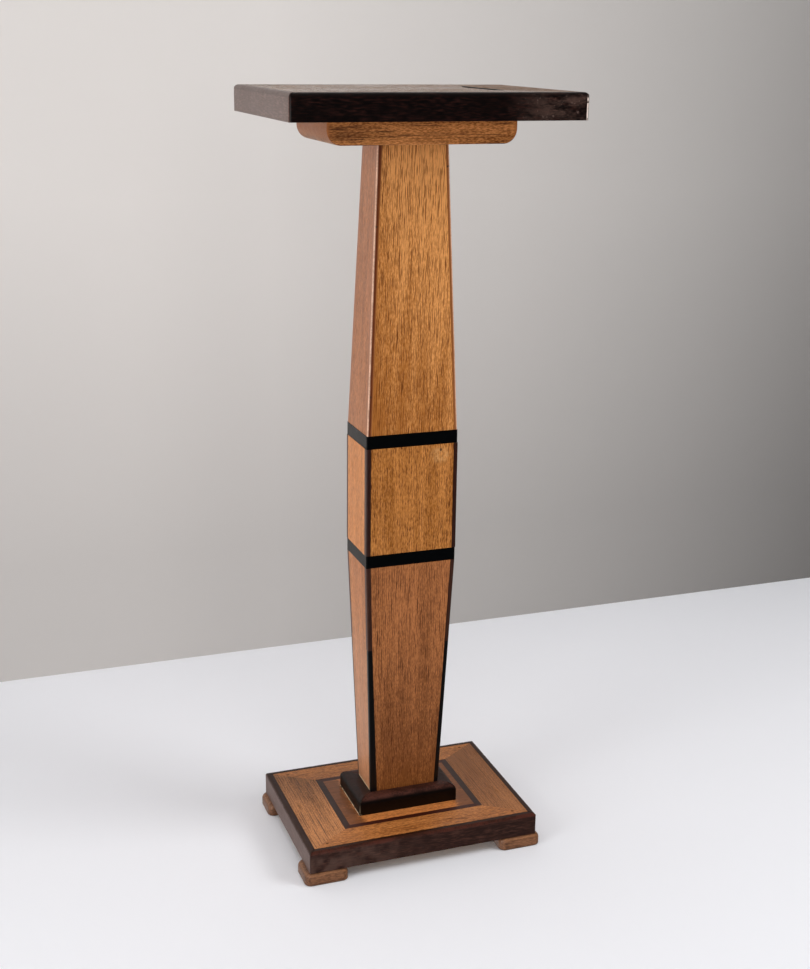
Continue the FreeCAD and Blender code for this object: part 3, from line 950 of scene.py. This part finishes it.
def section_distances(net, place, taper):
    return net.use(tapered_section, {
        "Place": place, "Low": taper.low, "High": taper.high,
        "Low Half X": taper.low_half[0], "High Half X": taper.high_half[0],
        "Low Half Y": taper.low_half[1], "High Half Y": taper.high_half[1]})


def spot_at(net, place, centre, reach):
    """One soft spot on a surface, from 0 to 1."""
    return net.use(soft_spot, {"Place": place, "Centre": centre, "Reach": reach})["Mark"]


def corner_highlight_closeness(taper, right_part=0.2):
    """How close a surface is to the column's corner, the left ones above all, as a material's function."""
    reach, core, soft = 2.6, 0.3, 1.0

    def closeness(net, place):
        distances = section_distances(net, place, taper)
        x, _, _ = net.split(place)
        # The painted highlight is strongest on the left corners, which face the window light.
        hand = net.between(x, -soft, soft, 1.0, right_part)
        return net.ramp(net.most(distances["From Side"], distances["From Face"]), reach, core) * hand
    return closeness


def nowhere(net, place):
    """Closeness of a piece that isn't rubbed."""
    return 0.0


# Operators

class PEDESTAL_OT_top_board(bpy.types.Operator):
    """Finish the top board: its rounded lippings, its mitred veneers and its sunken centre panel"""
    bl_idname = "pedestal.top_board"
    bl_label = "Top Board"

    def execute(self, context):
        stains, shapes = context.scene.pedestal_stains, context.scene.pedestal_shapes
        finish = context.scene.pedestal_oaks.top_field
        lippings = {"x": stain("top_lipping_stain", stains.top_lipping, "x", arris_closeness,
                               marks=self.lighter_end, specular=0.3),
                    "y": stain("faded_lipping_stain", stains.faded_lipping, "y", arris_closeness)}
        bright = {grain: oak(f"top_oak_{grain}", finish, grain, seed=3.0, gloss=0.26, relief=3.6,
                             marks=self.open_joint) for grain in ("x", "y")}
        dull = oak("dull_top_oak", finish, "y", seed=3.0, gloss=0.42, relief=2.2, specular=0.3,
                   marks=self.open_joint)
        for side in SIDES:
            grain = GRAINS[side]
            rail_piece("top_lipping_" + side, side, lippings[grain], shapes,
                       shapes.top_edge, shapes.top_corner)
            dress(dull if side == "right" else bright[grain], "top_frame_" + side)
        self.centre_panel(bright["x"], shapes)
        return {"FINISHED"}

    def lighter_end(self, net, place, base):
        """The front's right end has lost some stain and is scratched, and its corner is rubbed bare."""
        worn, scratched, pale_mark = srgb(88, 66, 58), srgb(128, 106, 98), srgb(236, 216, 204)
        start, end, lost_span, lost_part = 70.0, 150.0, (0.36, 0.64), 0.6
        patch_length, patch_height = 24.0, 9.0
        fleck_length, fleck_height, fleck_part = 5.0, 1.4, 0.4
        scratch_length, scratch_height, scratch_span, scratch_part = 4.5, 5.0, (0.6, 0.74), 0.5
        corner_span, front_span, drop_span = (3.4, 2.38), (5.1, 3.4), (2.4, 6.0)
        knock_size, knock_span = 6.0, (0.32, 0.5)
        low, high = box_mm("top_lipping_front")
        x, y, z = net.split(place)

        def noise(length, height, detail):
            return net.noise(net.vector(x / length, y / length, z / height), detail)

        patches = noise(patch_length, patch_height, detail=2.0)
        flecks = noise(fleck_length, fleck_height, detail=2.0)
        scratches = noise(scratch_length, scratch_height, detail=3.0)
        fading = net.ramp(x, start, end)
        lost = net.ramp(patches * (1 - fleck_part) + flecks * fleck_part, *lost_span)
        base = net.mix(fading * lost * lost_part, base, worn)
        base = net.mix(fading * net.ramp(scratches, *scratch_span) * scratch_part, base, scratched)
        corner = net.ramp(x, *(high.x - reach for reach in corner_span))
        below = net.ramp(z, *(high.z - drop for drop in drop_span))
        front = net.ramp(y, *(low.y + reach for reach in front_span))
        knocks = net.patches(place, knock_size, *knock_span)
        # The pale mark on the corner is a painted highlight, partly wear.
        return net.mix(corner * below * front * knocks, base, pale_mark)

    def open_joint(self, net, place, base):
        """The joint at the centre panel's right edge has opened, and dirt has gathered along it."""
        darkening, patch_size, patch_span = srgb(16, 14, 11), 5.0, (0.32, 0.6)
        gap_span, spread, spread_part, end_span = (1.2, 0.8), 8.0, 0.65, (1.0, 3.0)
        _, high = box_mm("top_centre_panel")
        x, y, _ = net.split(place)
        away = abs(x - high.x)
        patches = net.patches(place, patch_size, *patch_span)
        # Painted shadow: full in the gap, in patches on the wood beside it.
        shadowed = net.most(net.ramp(away, *gap_span), net.ramp(away, spread, 0.0) * patches * spread_part)
        along = net.ramp(abs(y), *(high.y - end for end in end_span))
        return net.mix(shadowed * along, base, darkening)

    def centre_panel(self, material, shapes):
        """Veneer sheet that has sunk along the middle of its right joint."""
        name, columns, rows, ends_share = "top_centre_panel_finished", 80, 48, 0.25
        low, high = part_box("top_centre_panel")

        def surface(column, row):
            x_share, y_share = 2 * column / columns - 1, 2 * row / rows - 1
            near = max(0.0, 1 - high.x * (1 - x_share) / shapes.dip_reach)
            middle = min(1.0, (1 - abs(y_share)) / ends_share)
            dip = shapes.panel_dip * near ** 2 * math.sin(middle * math.pi / 2)
            return x_share * high.x, y_share * high.y, high.z - dip

        points = [surface(column, row) for row in range(rows + 1) for column in range(columns + 1)]
        width, last = columns + 1, len(points) - 1
        squares = [(corner, corner + 1, corner + width + 1, corner + width)
                   for row in range(rows) for corner in range(row * width, row * width + columns)]
        rim = [*range(columns), *range(columns, last, width),
               *range(last, last - columns, -1), *range(last - columns, 0, -width)]
        foot = range(len(points), len(points) + len(rim))
        points += [(*points[corner][:2], low.z) for corner in rim]
        walls = [(rim[place - 1], foot[place - 1], foot[place], rim[place]) for place in range(len(rim))]
        mesh = bpy.data.meshes.new(name)
        mesh.from_pydata(points, [], [*squares, *walls, tuple(reversed(foot))])
        mesh.materials.append(material)
        mesh.shade_smooth()
        panel = placed(name, mesh)
        even_normals(panel)
        stand_for(panel, "top_centre_panel")


class PEDESTAL_OT_support_block(bpy.types.Operator):
    """Finish the bearer under the top"""
    bl_idname = "pedestal.support_block"
    bl_label = "Support Block"

    def execute(self, context):
        dress(oak("support_block_oak", context.scene.pedestal_oaks.support_block, "x", seed=1.0,
                  specular=0.25, marks=self.calm_ends), "support_block")
        return {"FINISHED"}

    def calm_ends(self, net, place, base):
        """The end grain is pinkish and shows few lines."""
        ends, reach, part = srgb(160, 97, 52), 7.0, 0.8
        _, high = box_mm("support_block")
        x, _, _ = net.split(place)
        return net.mix(net.ramp(high.x - abs(x), reach, 0.0) * part, base, ends)


class PEDESTAL_OT_column_veneers(bpy.types.Operator):
    """Finish the veneers on the column's three sections"""
    bl_idname = "pedestal.column_veneers"
    bl_label = "Column Veneers"

    def execute(self, context):
        oaks = context.scene.pedestal_oaks
        faces = {
            "upper": oak("upper_face_oak", oaks.upper_faces, "z", seed=2.0, lean=-0.04, specular=0.25,
                         shift=self.lighter_right_lit_head),
            "middle": oak("middle_face_oak", oaks.middle_faces, "z", seed=5.0, specular=0.25,
                          marks=self.middle_marks),
            "lower": oak("lower_face_oak", oaks.lower_faces, "z", seed=7.0, specular=0.3,
                         shift=self.darker_foot, marks=self.lower_marks),
        }
        # The side oaks' paler colours carry a painted sheen as well as their own colour.
        sides = {
            "upper": oak("upper_side_oak", oaks.upper_sides, "zx", seed=11.0),
            "middle": oak("middle_side_oak", oaks.middle_sides, "zx", seed=13.0),
            "lower": oak("lower_side_oak", oaks.lower_sides, "zx", seed=17.0, marks=self.pale_foot),
        }
        for section in faces:
            dress(faces[section], section + "_veneer_front", section + "_veneer_back")
            dress(sides[section], section + "_veneer_left", section + "_veneer_right")
        return {"FINISHED"}

    def lighter_right_lit_head(self, net, place):
        """The upper faces go from brown on the left to golden on the right, and are lighter above."""
        half_width, part = 45.0, 0.25
        low, high, low_part, high_part = 600.0, 900.0, -0.4, 0.6
        x, _, z = net.split(place)
        return (net.between(x, -half_width, half_width, -part, part)
                + net.between(z, low, high, low_part, high_part))

    def darker_foot(self, net, place):
        """The lower veneers darken towards the plinth."""
        low, high, low_part, high_part = 60.0, 330.0, -0.45, 0.135
        _, _, z = net.split(place)
        return net.between(z, low, high, low_part, high_part)

    def middle_marks(self, net, place, base):
        """Marks on the middle faces."""
        stain_colour, reaches = srgb(40, 15, 8), (6.0, 6.0)
        base = self.rubbed_spot(net, place, base)
        return self.beside_string(net, place, base, "middle_strings", stain_colour, reaches)

    def lower_marks(self, net, place, base):
        """Marks on the lower faces."""
        strings = {"lower_brown_strings": (srgb(50, 24, 14), (6.0, 6.0)),
                   "lower_black_strings": (srgb(10, 8, 8), (6.6, 5.6))}
        for node, (stain_colour, reaches) in strings.items():
            base = self.beside_string(net, place, base, node, stain_colour, reaches)
        return base

    def beside_string(self, net, place, base, node, stain_colour, reaches):
        """A right string's stain has run on to the veneer, with a reach at its foot and one at its head."""
        soft = 0.3
        taper = taper_of(node)
        x, _, z = net.split(place)
        distances = section_distances(net, place, taper)
        reach = net.between(z, taper.low, taper.high, *reaches)
        near = net.ramp(distances["From Side"] - reach, soft, -soft)
        for positive in (x, distances["From Foot"], distances["From Head"]):
            near = near * net.over(positive)
        return net.mix(near, base, stain_colour)

    def pale_foot(self, net, place, base):
        """The lower sides fade towards the foot, and the left one has a pale line above the plinth."""
        faded, fade_span, fade_part = srgb(226, 174, 140), (380.0, 180.0), 0.3
        pale, line_span = srgb(232, 204, 166), (2.2, 1.32)
        _, plinth_high = box_mm("plinth_moulding_left")
        x, _, z = net.split(place)
        base = net.mix(net.ramp(z, *fade_span) * fade_part, base, faded)
        return net.mix(net.ramp(z - plinth_high.z, *line_span) * net.under(x), base, pale)

    def rubbed_spot(self, net, place, base):
        """A pale rubbed spot with a dark dot near the upper right corner of the middle faces."""
        pale, inward, down, reach = srgb(214, 160, 100), 20.0, 14.0, (17.0, 12.0, 14.0)
        dark, dot_inward, dot_down, dot_reach, dot_part = srgb(64, 34, 18), 19.0, 7.5, (2.2, 4.0, 2.8), 0.85
        speck_size, speck_span, speck_part, even_part = 4.0, (0.35, 0.65), 0.4, 0.15
        low, high = box_mm("middle_veneer_front")
        rub = spot_at(net, place, (high.x - inward, low.y, high.z - down), reach)
        dot = spot_at(net, place, (high.x - dot_inward, low.y, high.z - dot_down), dot_reach)
        broken = net.patches(place, speck_size, *speck_span, detail=1.0)
        base = net.mix(rub * (broken * speck_part + even_part), base, pale)
        return net.mix(dot * dot_part, base, dark)


class PEDESTAL_OT_corner_strings(bpy.types.Operator):
    """Finish the stained strings on the column's corners"""
    bl_idname = "pedestal.corner_strings"
    bl_label = "Corner Strings"

    def execute(self, context):
        stains = context.scene.pedestal_stains
        # How much painted highlight the right corners get: much on the upper strings' rim, little on the
        # others.
        right_highlight, faint_right_highlight = 0.85, 0.2
        finishes = {
            "upper_strings": (stains.upper_strings, right_highlight),
            "middle_strings": (stains.middle_strings, faint_right_highlight),
            "lower_brown_strings": (stains.lower_strings, faint_right_highlight),
            "lower_black_strings": (stains.black_strings, faint_right_highlight)}
        for node, (finish, right_part) in finishes.items():
            taper = taper_of(node)
            dress(stain(node + "_stain", finish, "z", corner_highlight_closeness(taper, right_part),
                        marks=self.own_sides(taper, finish)), node)
        return {"FINISHED"}

    def own_sides(self, taper, finish):
        """Strings have their own colour on the column's sides and beside the veneer, and a few nicks."""
        nick, nick_part, nick_reach = srgb(40, 20, 12), 0.85, (2.4, 3.0, 1.8)
        nicks = ((-1, 629.0), (-1, 839.0), (1, 909.0))
        edge, side_part, inner_span, right_part = 0.8, 0.88, (3.8, 7.4), 0.4
        head_length, head_part = 160.0, 0.5

        def marks(net, place, base):
            x, _, _ = net.split(place)
            distances = section_distances(net, place, taper)
            head = net.ramp(distances["From Head"], head_length, 0.0) * net.under(x)
            inner = net.ramp(distances["From Side"], *inner_span) * (1.0 - head * head_part)
            base = net.mix(net.most(inner, net.over(x) * right_part), base, finish.inner)
            on_side = net.ramp(distances["From Face"] - distances["From Side"], 0.0, edge)
            base = net.mix(on_side * side_part, base, finish.side)
            for hand, height in nicks:
                if taper.low < height < taper.high:
                    half_x, half_y = taper.half_at(height)
                    centre = (hand * (half_x - nick_reach[0]), -half_y, height)
                    base = net.mix(spot_at(net, place, centre, nick_reach) * nick_part, base, nick)
            return base
        return marks


class PEDESTAL_OT_bands(bpy.types.Operator):
    """Finish the two black bands between the column's sections"""
    bl_idname = "pedestal.bands"
    bl_label = "Bands"

    def execute(self, context):
        for node in ("upper_band", "lower_band"):
            # The bands' corners get a faint painted highlight through their worn colour.
            dress(stain(node + "_stain", context.scene.pedestal_stains.bands, "x",
                        corner_highlight_closeness(taper_of(node)), specular=0.2), node)
        return {"FINISHED"}


class PEDESTAL_OT_plinth(bpy.types.Operator):
    """Finish the rounded moulding round the column's foot"""
    bl_idname = "pedestal.plinth"
    bl_label = "Plinth Moulding"

    def execute(self, context):
        finish, shapes = context.scene.pedestal_stains.plinth, context.scene.pedestal_shapes
        low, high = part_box("plinth_moulding_front")
        _, side_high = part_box("plinth_moulding_right")
        column = taper_of("lower_black_strings")
        inner_x, inner_y = (half * MM for half in column.half_at(high.z * PER_METRE))
        depth_x, depth_y = side_high.x - inner_x, -low.y - inner_y
        depths = {"x": (depth_y, depth_x), "y": (depth_x, depth_y)}
        materials = {grain: stain(f"plinth_{grain}", finish, grain, self.rubbed_crown_and_sheen, seed=2.0,
                                  marks=self.open_joints, specular=0.25, even=0.35) for grain in depths}
        for side in SIDES:
            depth, other = depths[GRAINS[side]]
            rail_piece("plinth_moulding_" + side, side, materials[GRAINS[side]], shapes,
                       shapes.plinth_edge, shapes.plinth_corner, depth=depth, slope=other / depth)
        return {"FINISHED"}

    def rubbed_crown_and_sheen(self, net, place):
        """The top and the crown of the moulding are rubbed, less so on the left and right."""
        span, side_part = (6.5, 2.0), 0.35
        low, high = box_mm("plinth_moulding_front")
        x, y, z = net.split(place)
        on_side = net.under(high.x - abs(x), -low.y - abs(y))
        return net.ramp(high.z - z, *span) * (1.0 - on_side * (1.0 - side_part))

    def open_joints(self, net, place, base):
        """Bare wood shows along the left joint with the base, and faintly down the front left mitre."""
        pale_mark, patch_size, patch_span = srgb(228, 206, 172), 8.0, (0.3, 0.5)
        foot_span, left_span, corner_share, mitre_part = (3.0, 1.6), (4.0, 2.0), 1.4, 0.4
        low, high = box_mm("plinth_moulding_left")
        x, y, z = net.split(place)
        left = net.ramp(x, *(low.x + reach for reach in left_span))
        foot = net.ramp(z - low.z, *foot_span) * left
        front_left = net.under(x + y, low.x * corner_share)
        mitre = rail_mark(net, "mitre") * front_left * net.ramp(z, high.z, low.z)
        broken = net.patches(place, patch_size, *patch_span)
        return net.mix(net.most(foot, mitre * mitre_part) * broken, base, pale_mark)


class PEDESTAL_OT_base_board(bpy.types.Operator):
    """Finish the base: its rounded lippings, its mitred frame, its inlay and its centre panel"""
    bl_idname = "pedestal.base_board"
    bl_label = "Base Board"

    def execute(self, context):
        oaks, stains = context.scene.pedestal_oaks, context.scene.pedestal_stains
        shapes = context.scene.pedestal_shapes
        lippings = {grain: stain(key + "_stain", getattr(stains, key), grain, arris_closeness, seed=4.0,
                                 marks=self.browner_top, specular=0.3, even=0.1)
                    for grain, key in (("x", "base_lipping"), ("y", "faded_base_lipping"))}
        frames = {"x": oak("base_end_oak", oaks.base_ends, "x", seed=6.0),
                  "y": oak("base_side_oak", oaks.base_sides, "y", seed=8.0, shift=self.lighter_front,
                           marks=self.calm_right)}
        for side in SIDES:
            grain = GRAINS[side]
            rail_piece("base_lipping_" + side, side, lippings[grain], shapes,
                       shapes.base_edge, shapes.base_corner)
            dress(frames[grain], "base_frame_" + side)
        dress(stain("inlay_stain", stains.inlay, "x", nowhere, seed=9.0, marks=self.redder_front),
              "base_inlay_strings")
        dress(oak("base_panel_oak", oaks.base_panel, "x", seed=10.0, shift=self.darker_ends,
                  marks=self.stained_edge), "base_centre_panel")
        return {"FINISHED"}

    def browner_top(self, net, place, base):
        """The lippings are brown above, and their faces have faded in patches towards the left."""
        brown, edge_span = srgb(42, 19, 9), (3.2, 0.96)
        faded, fade_span, fade_part = srgb(102, 76, 66), (30.0, -150.0), 0.45
        patch_size, patch_span = 16.0, (0.36, 0.62)
        _, high = box_mm("base_lipping_front")
        x, _, z = net.split(place)
        patches = net.patches(place, patch_size, *patch_span, detail=3.0)
        base = net.mix(net.ramp(x, *fade_span) * patches * fade_part, base, faded)
        return net.mix(net.ramp(high.z - z, *edge_span), base, brown)

    def redder_front(self, net, place, base):
        """The inlay's front and back strings are redder than its sides."""
        red = srgb(60, 22, 11)
        _, high = box_mm("base_inlay_strings")
        x, y, _ = net.split(place)
        return net.mix(net.over(high.x - abs(x), high.y - abs(y)), base, red)

    def lighter_front(self, net, place):
        """The base's side veneers are lighter towards the front, and darker on the right."""
        reach, part, right_part = 90.0, 0.3, 0.35
        x, y, _ = net.split(place)
        return net.between(y, -reach, reach, part, -part) - net.over(x) * right_part

    def calm_right(self, net, place, base):
        """The veneer on the right shows its lines less."""
        calm, part = srgb(142, 86, 44), 0.35
        x, _, _ = net.split(place)
        return net.mix(net.over(x) * part, base, calm)

    def darker_ends(self, net, place):
        """The centre panel is darker beside the plinth's ends, and lighter along its front and back."""
        span, end_part, front_part = (60.0, 78.0), 0.7, 0.4
        x, _, _ = net.split(place)
        ends = net.ramp(abs(x), *span)
        return ends * -end_part + (1.0 - ends) * front_part

    def stained_edge(self, net, place, base):
        """The strings' stain has run on to the centre panel along its front and back."""
        stain_colour, span = srgb(60, 22, 11), (2.6, 1.82)
        _, high = box_mm("base_centre_panel")
        _, y, _ = net.split(place)
        return net.mix(net.ramp(high.y - abs(y), *span), base, stain_colour)


class PEDESTAL_OT_feet(bpy.types.Operator):
    """Finish the four flat feet"""
    bl_idname = "pedestal.feet"
    bl_label = "Feet"

    def execute(self, context):
        dress(oak("foot_oak", context.scene.pedestal_oaks.feet, "x", seed=12.0, marks=self.rubbed_edges),
              *FEET)
        return {"FINISHED"}

    def rubbed_edges(self, net, place, base):
        """The feet are paler on their upper edges and dirty at the sole."""
        pale, edge_span, wear, pale_part = srgb(176, 126, 88), (5.0, 1.0), 0.7, 0.5
        darkening, sole, sole_darkening_part = srgb(58, 40, 30), 4.0, 0.45
        low, high = box_mm("foot_back_right")
        x, y, z = net.split(place)
        from_side = net.least(high.x - abs(x), abs(x) - low.x)
        from_end = net.least(high.y - abs(y), abs(y) - low.y)
        from_edge = net.most(net.least(from_side, from_end), high.z - z)
        worn = net.use(edge_wear_and_highlight, {"Place": place, "Closeness": net.ramp(from_edge, *edge_span),
                                   "Amount": wear})["Worn"]
        base = net.mix(worn * pale_part, base, pale)
        return net.mix(net.ramp(z, sole, 0.0) * sole_darkening_part, base, darkening)


class PEDESTAL_OT_fasteners(bpy.types.Operator):
    """Make the slotted screws, and finish the nails and the filler over them"""
    bl_idname = "pedestal.fasteners"
    bl_label = "Fasteners"

    def execute(self, context):
        shapes = context.scene.pedestal_shapes
        steel = dull_steel("dull_steel")
        self.screws("top_fixing_screws", steel, shapes, count=4, heads_up=False)
        self.screws("column_fixing_screws", steel, shapes, count=2, heads_up=False)
        self.screws("block_fixing_screws", steel, shapes, count=2, heads_up=True)
        dress(steel, "foot_nails")
        dress(brown_filler("brown_filler"), "nail_fillers")
        return {"FINISHED"}

    def screws(self, node, steel, shapes, count, heads_up):
        """Screws that stand for a CAD group, at its places."""
        low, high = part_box(node)
        piece = grown(node + "_slotted", shared_tree(slotted_screws), {
            "Count": count, "Reach X": high.x - shapes.screw_head, "Reach Y": high.y - shapes.screw_head,
            "Level": high.z if heads_up else low.z, "Tilt": math.pi if heads_up else 0.0,
            "Length": high.z - low.z, "Head Radius": shapes.screw_head,
            "Head Height": shapes.screw_head_height, "Shank Radius": shapes.screw_shank,
            "Tip": shapes.screw_tip, "Slot Width": shapes.slot_width, "Slot Depth": shapes.slot_depth,
            "Material": steel})
        stand_for(piece, node)


class PEDESTAL_OT_cores(bpy.types.Operator):
    """Finish the softwood boards, blocks and dowels under the veneers"""
    bl_idname = "pedestal.cores"
    bl_label = "Cores"

    def execute(self, context):
        dress(softwood("bare_softwood"), "top_core", "upper_core", "middle_core", "lower_core", "base_core",
              "section_dowels")
        return {"FINISHED"}


SoftLight = namedtuple("SoftLight", "name place target size glare")
LIGHTS = {
    "window": SoftLight("window", place=(-2.1, -0.95, 1.15), target=(0.0, 0.0, 0.75),
                        size=(0.8, 1.7), glare=True),
    "front": SoftLight("front_light", place=(-0.3, -2.7, 1.0), target=(0.0, 0.0, 0.6),
                       size=(2.0, 2.0), glare=False),
    "key": SoftLight("key_light", place=(1.9, -1.2, 2.0), target=(0.0, 0.0, 0.3),
                     size=(1.2, 1.2), glare=False),
    "overhead": SoftLight("overhead_light", place=(-0.4, -0.3, 2.9), target=(-0.1, 0.0, 0.0),
                          size=(2.4, 2.4), glare=False),
}


class PEDESTAL_OT_stage(bpy.types.Operator):
    """Set up the floor, the backdrop, the soft lights and the camera"""
    bl_idname = "pedestal.stage"
    bl_label = "Stage"

    def execute(self, context):
        stage = context.scene.pedestal_stage
        reach, front, back, wall_height = 6.0, -2.0, stage.wall_distance, 4.0
        self.sheet("floor", [(-reach, front, 0.0), (reach, front, 0.0), (reach, reach, 0.0),
                             (-reach, reach, 0.0)], floor_paint("pale_floor", stage), glare=False)
        self.sheet("backdrop", [(-reach, back, 0.0), (reach, back, 0.0), (reach, back, wall_height),
                                (-reach, back, wall_height)], wall_paint("grey_wall", stage), glare=True)
        for key, light in LIGHTS.items():
            self.soft_light(light, getattr(stage, key))
        self.sky(context, stage)
        self.camera(context, stage)
        context.scene.view_settings.view_transform = "Standard"
        return {"FINISHED"}

    def sheet(self, name, corners, material, glare):
        mesh = bpy.data.meshes.new(name)
        mesh.from_pydata(corners, [], [range(len(corners))])
        mesh.materials.append(material)
        item = placed(name, mesh)
        item.visible_glossy = glare

    def soft_light(self, light, power):
        lamp = bpy.data.lights.new(light.name, "AREA")
        lamp.shape = "RECTANGLE"
        lamp.size, lamp.size_y = light.size
        lamp.energy = power
        item = placed(light.name, lamp)
        item.visible_glossy = light.glare
        towards = Vector(light.target) - Vector(light.place)
        turned = towards.to_track_quat("-Z", "Y").to_matrix().to_4x4()
        item.matrix_world = Matrix.Translation(light.place) @ turned

    def sky(self, context, stage):
        """White sky, bright on the left and above, dark in front on the right, pale where it is seen."""
        white, dark_end, bright_end = (1.0, 1.0, 1.0), -0.5, 0.8
        left_part, back_part, high_part = 0.75, 0.55, 0.15
        world = bpy.data.worlds.new("soft_sky")
        world.use_nodes = True
        world.node_tree.nodes.clear()
        net = Net(world.node_tree)
        x, y, z = net.split(net.field("ShaderNodeTexCoord", output="Generated"))
        leftness = x * -left_part + y * back_part + z * high_part
        level = net.between(leftness, dark_end, bright_end, stage.sky_right, stage.sky_left)
        seen = net.field("ShaderNodeLightPath", output="Is Camera Ray")
        strength = level + (stage.sky_seen - level) * seen
        sky = net.field("ShaderNodeBackground", {"Color": white, "Strength": strength})
        net.add("ShaderNodeOutputWorld", {"Surface": sky})
        context.scene.world = world

    def camera(self, context, stage):
        view = bpy.data.cameras.new("camera")
        view.lens = stage.camera_lens
        item = placed("camera", view)
        upright = math.pi / 2
        item.matrix_world = (Matrix.Translation(stage.camera_place)
                             @ Matrix.Rotation(-stage.camera_yaw, 4, "Z")
                             @ Matrix.Rotation(upright - stage.camera_pitch, 4, "X")
                             @ Matrix.Rotation(stage.camera_roll, 4, "Z"))
        context.scene.camera = item


OPERATORS = (PEDESTAL_OT_top_board, PEDESTAL_OT_support_block, PEDESTAL_OT_column_veneers,
             PEDESTAL_OT_corner_strings, PEDESTAL_OT_bands, PEDESTAL_OT_plinth, PEDESTAL_OT_base_board,
             PEDESTAL_OT_feet, PEDESTAL_OT_fasteners, PEDESTAL_OT_cores, PEDESTAL_OT_stage)


class PEDESTAL_PT_finish(bpy.types.Panel):
    """The pedestal's settings and the operators that finish it"""
    bl_idname = "PEDESTAL_PT_finish"
    bl_label = "Pedestal"
    bl_space_type = "VIEW_3D"
    bl_region_type = "UI"
    bl_category = "Pedestal"

    def draw(self, context):
        scene = context.scene
        for operator in OPERATORS:
            self.layout.operator(operator.bl_idname)
        for group, keys in ((scene.pedestal_oaks, OAKS), (scene.pedestal_stains, STAINS)):
            for key in keys:
                self.draw_group(key.replace("_", " ").capitalize(), getattr(group, key))
        self.draw_group("Shapes", scene.pedestal_shapes)
        self.draw_group("Stage", scene.pedestal_stage)

    def draw_group(self, label, group):
        box = self.layout.box()
        box.label(text=label)
        for key in group.__annotations__:
            box.prop(group, key)


SCENE_SETTINGS = {"pedestal_oaks": PedestalOaks, "pedestal_stains": PedestalStains,
                  "pedestal_shapes": PedestalShapes, "pedestal_stage": PedestalStage}
CLASSES = (*OAKS.values(), *STAINS.values(), *SCENE_SETTINGS.values(), *OPERATORS, PEDESTAL_PT_finish)


def register():
    for kind in CLASSES:
        bpy.utils.register_class(kind)
    for name, kind in SCENE_SETTINGS.items():
        setattr(bpy.types.Scene, name, bpy.props.PointerProperty(type=kind))


def unregister():
    for name in SCENE_SETTINGS:
        delattr(bpy.types.Scene, name)
    for kind in reversed(CLASSES):
        bpy.utils.unregister_class(kind)


def main():
    register()
    for operator in OPERATORS:
        module, name = operator.bl_idname.split(".")
        getattr(getattr(bpy.ops, module), name)()


if __name__ == "__main__":
    main()
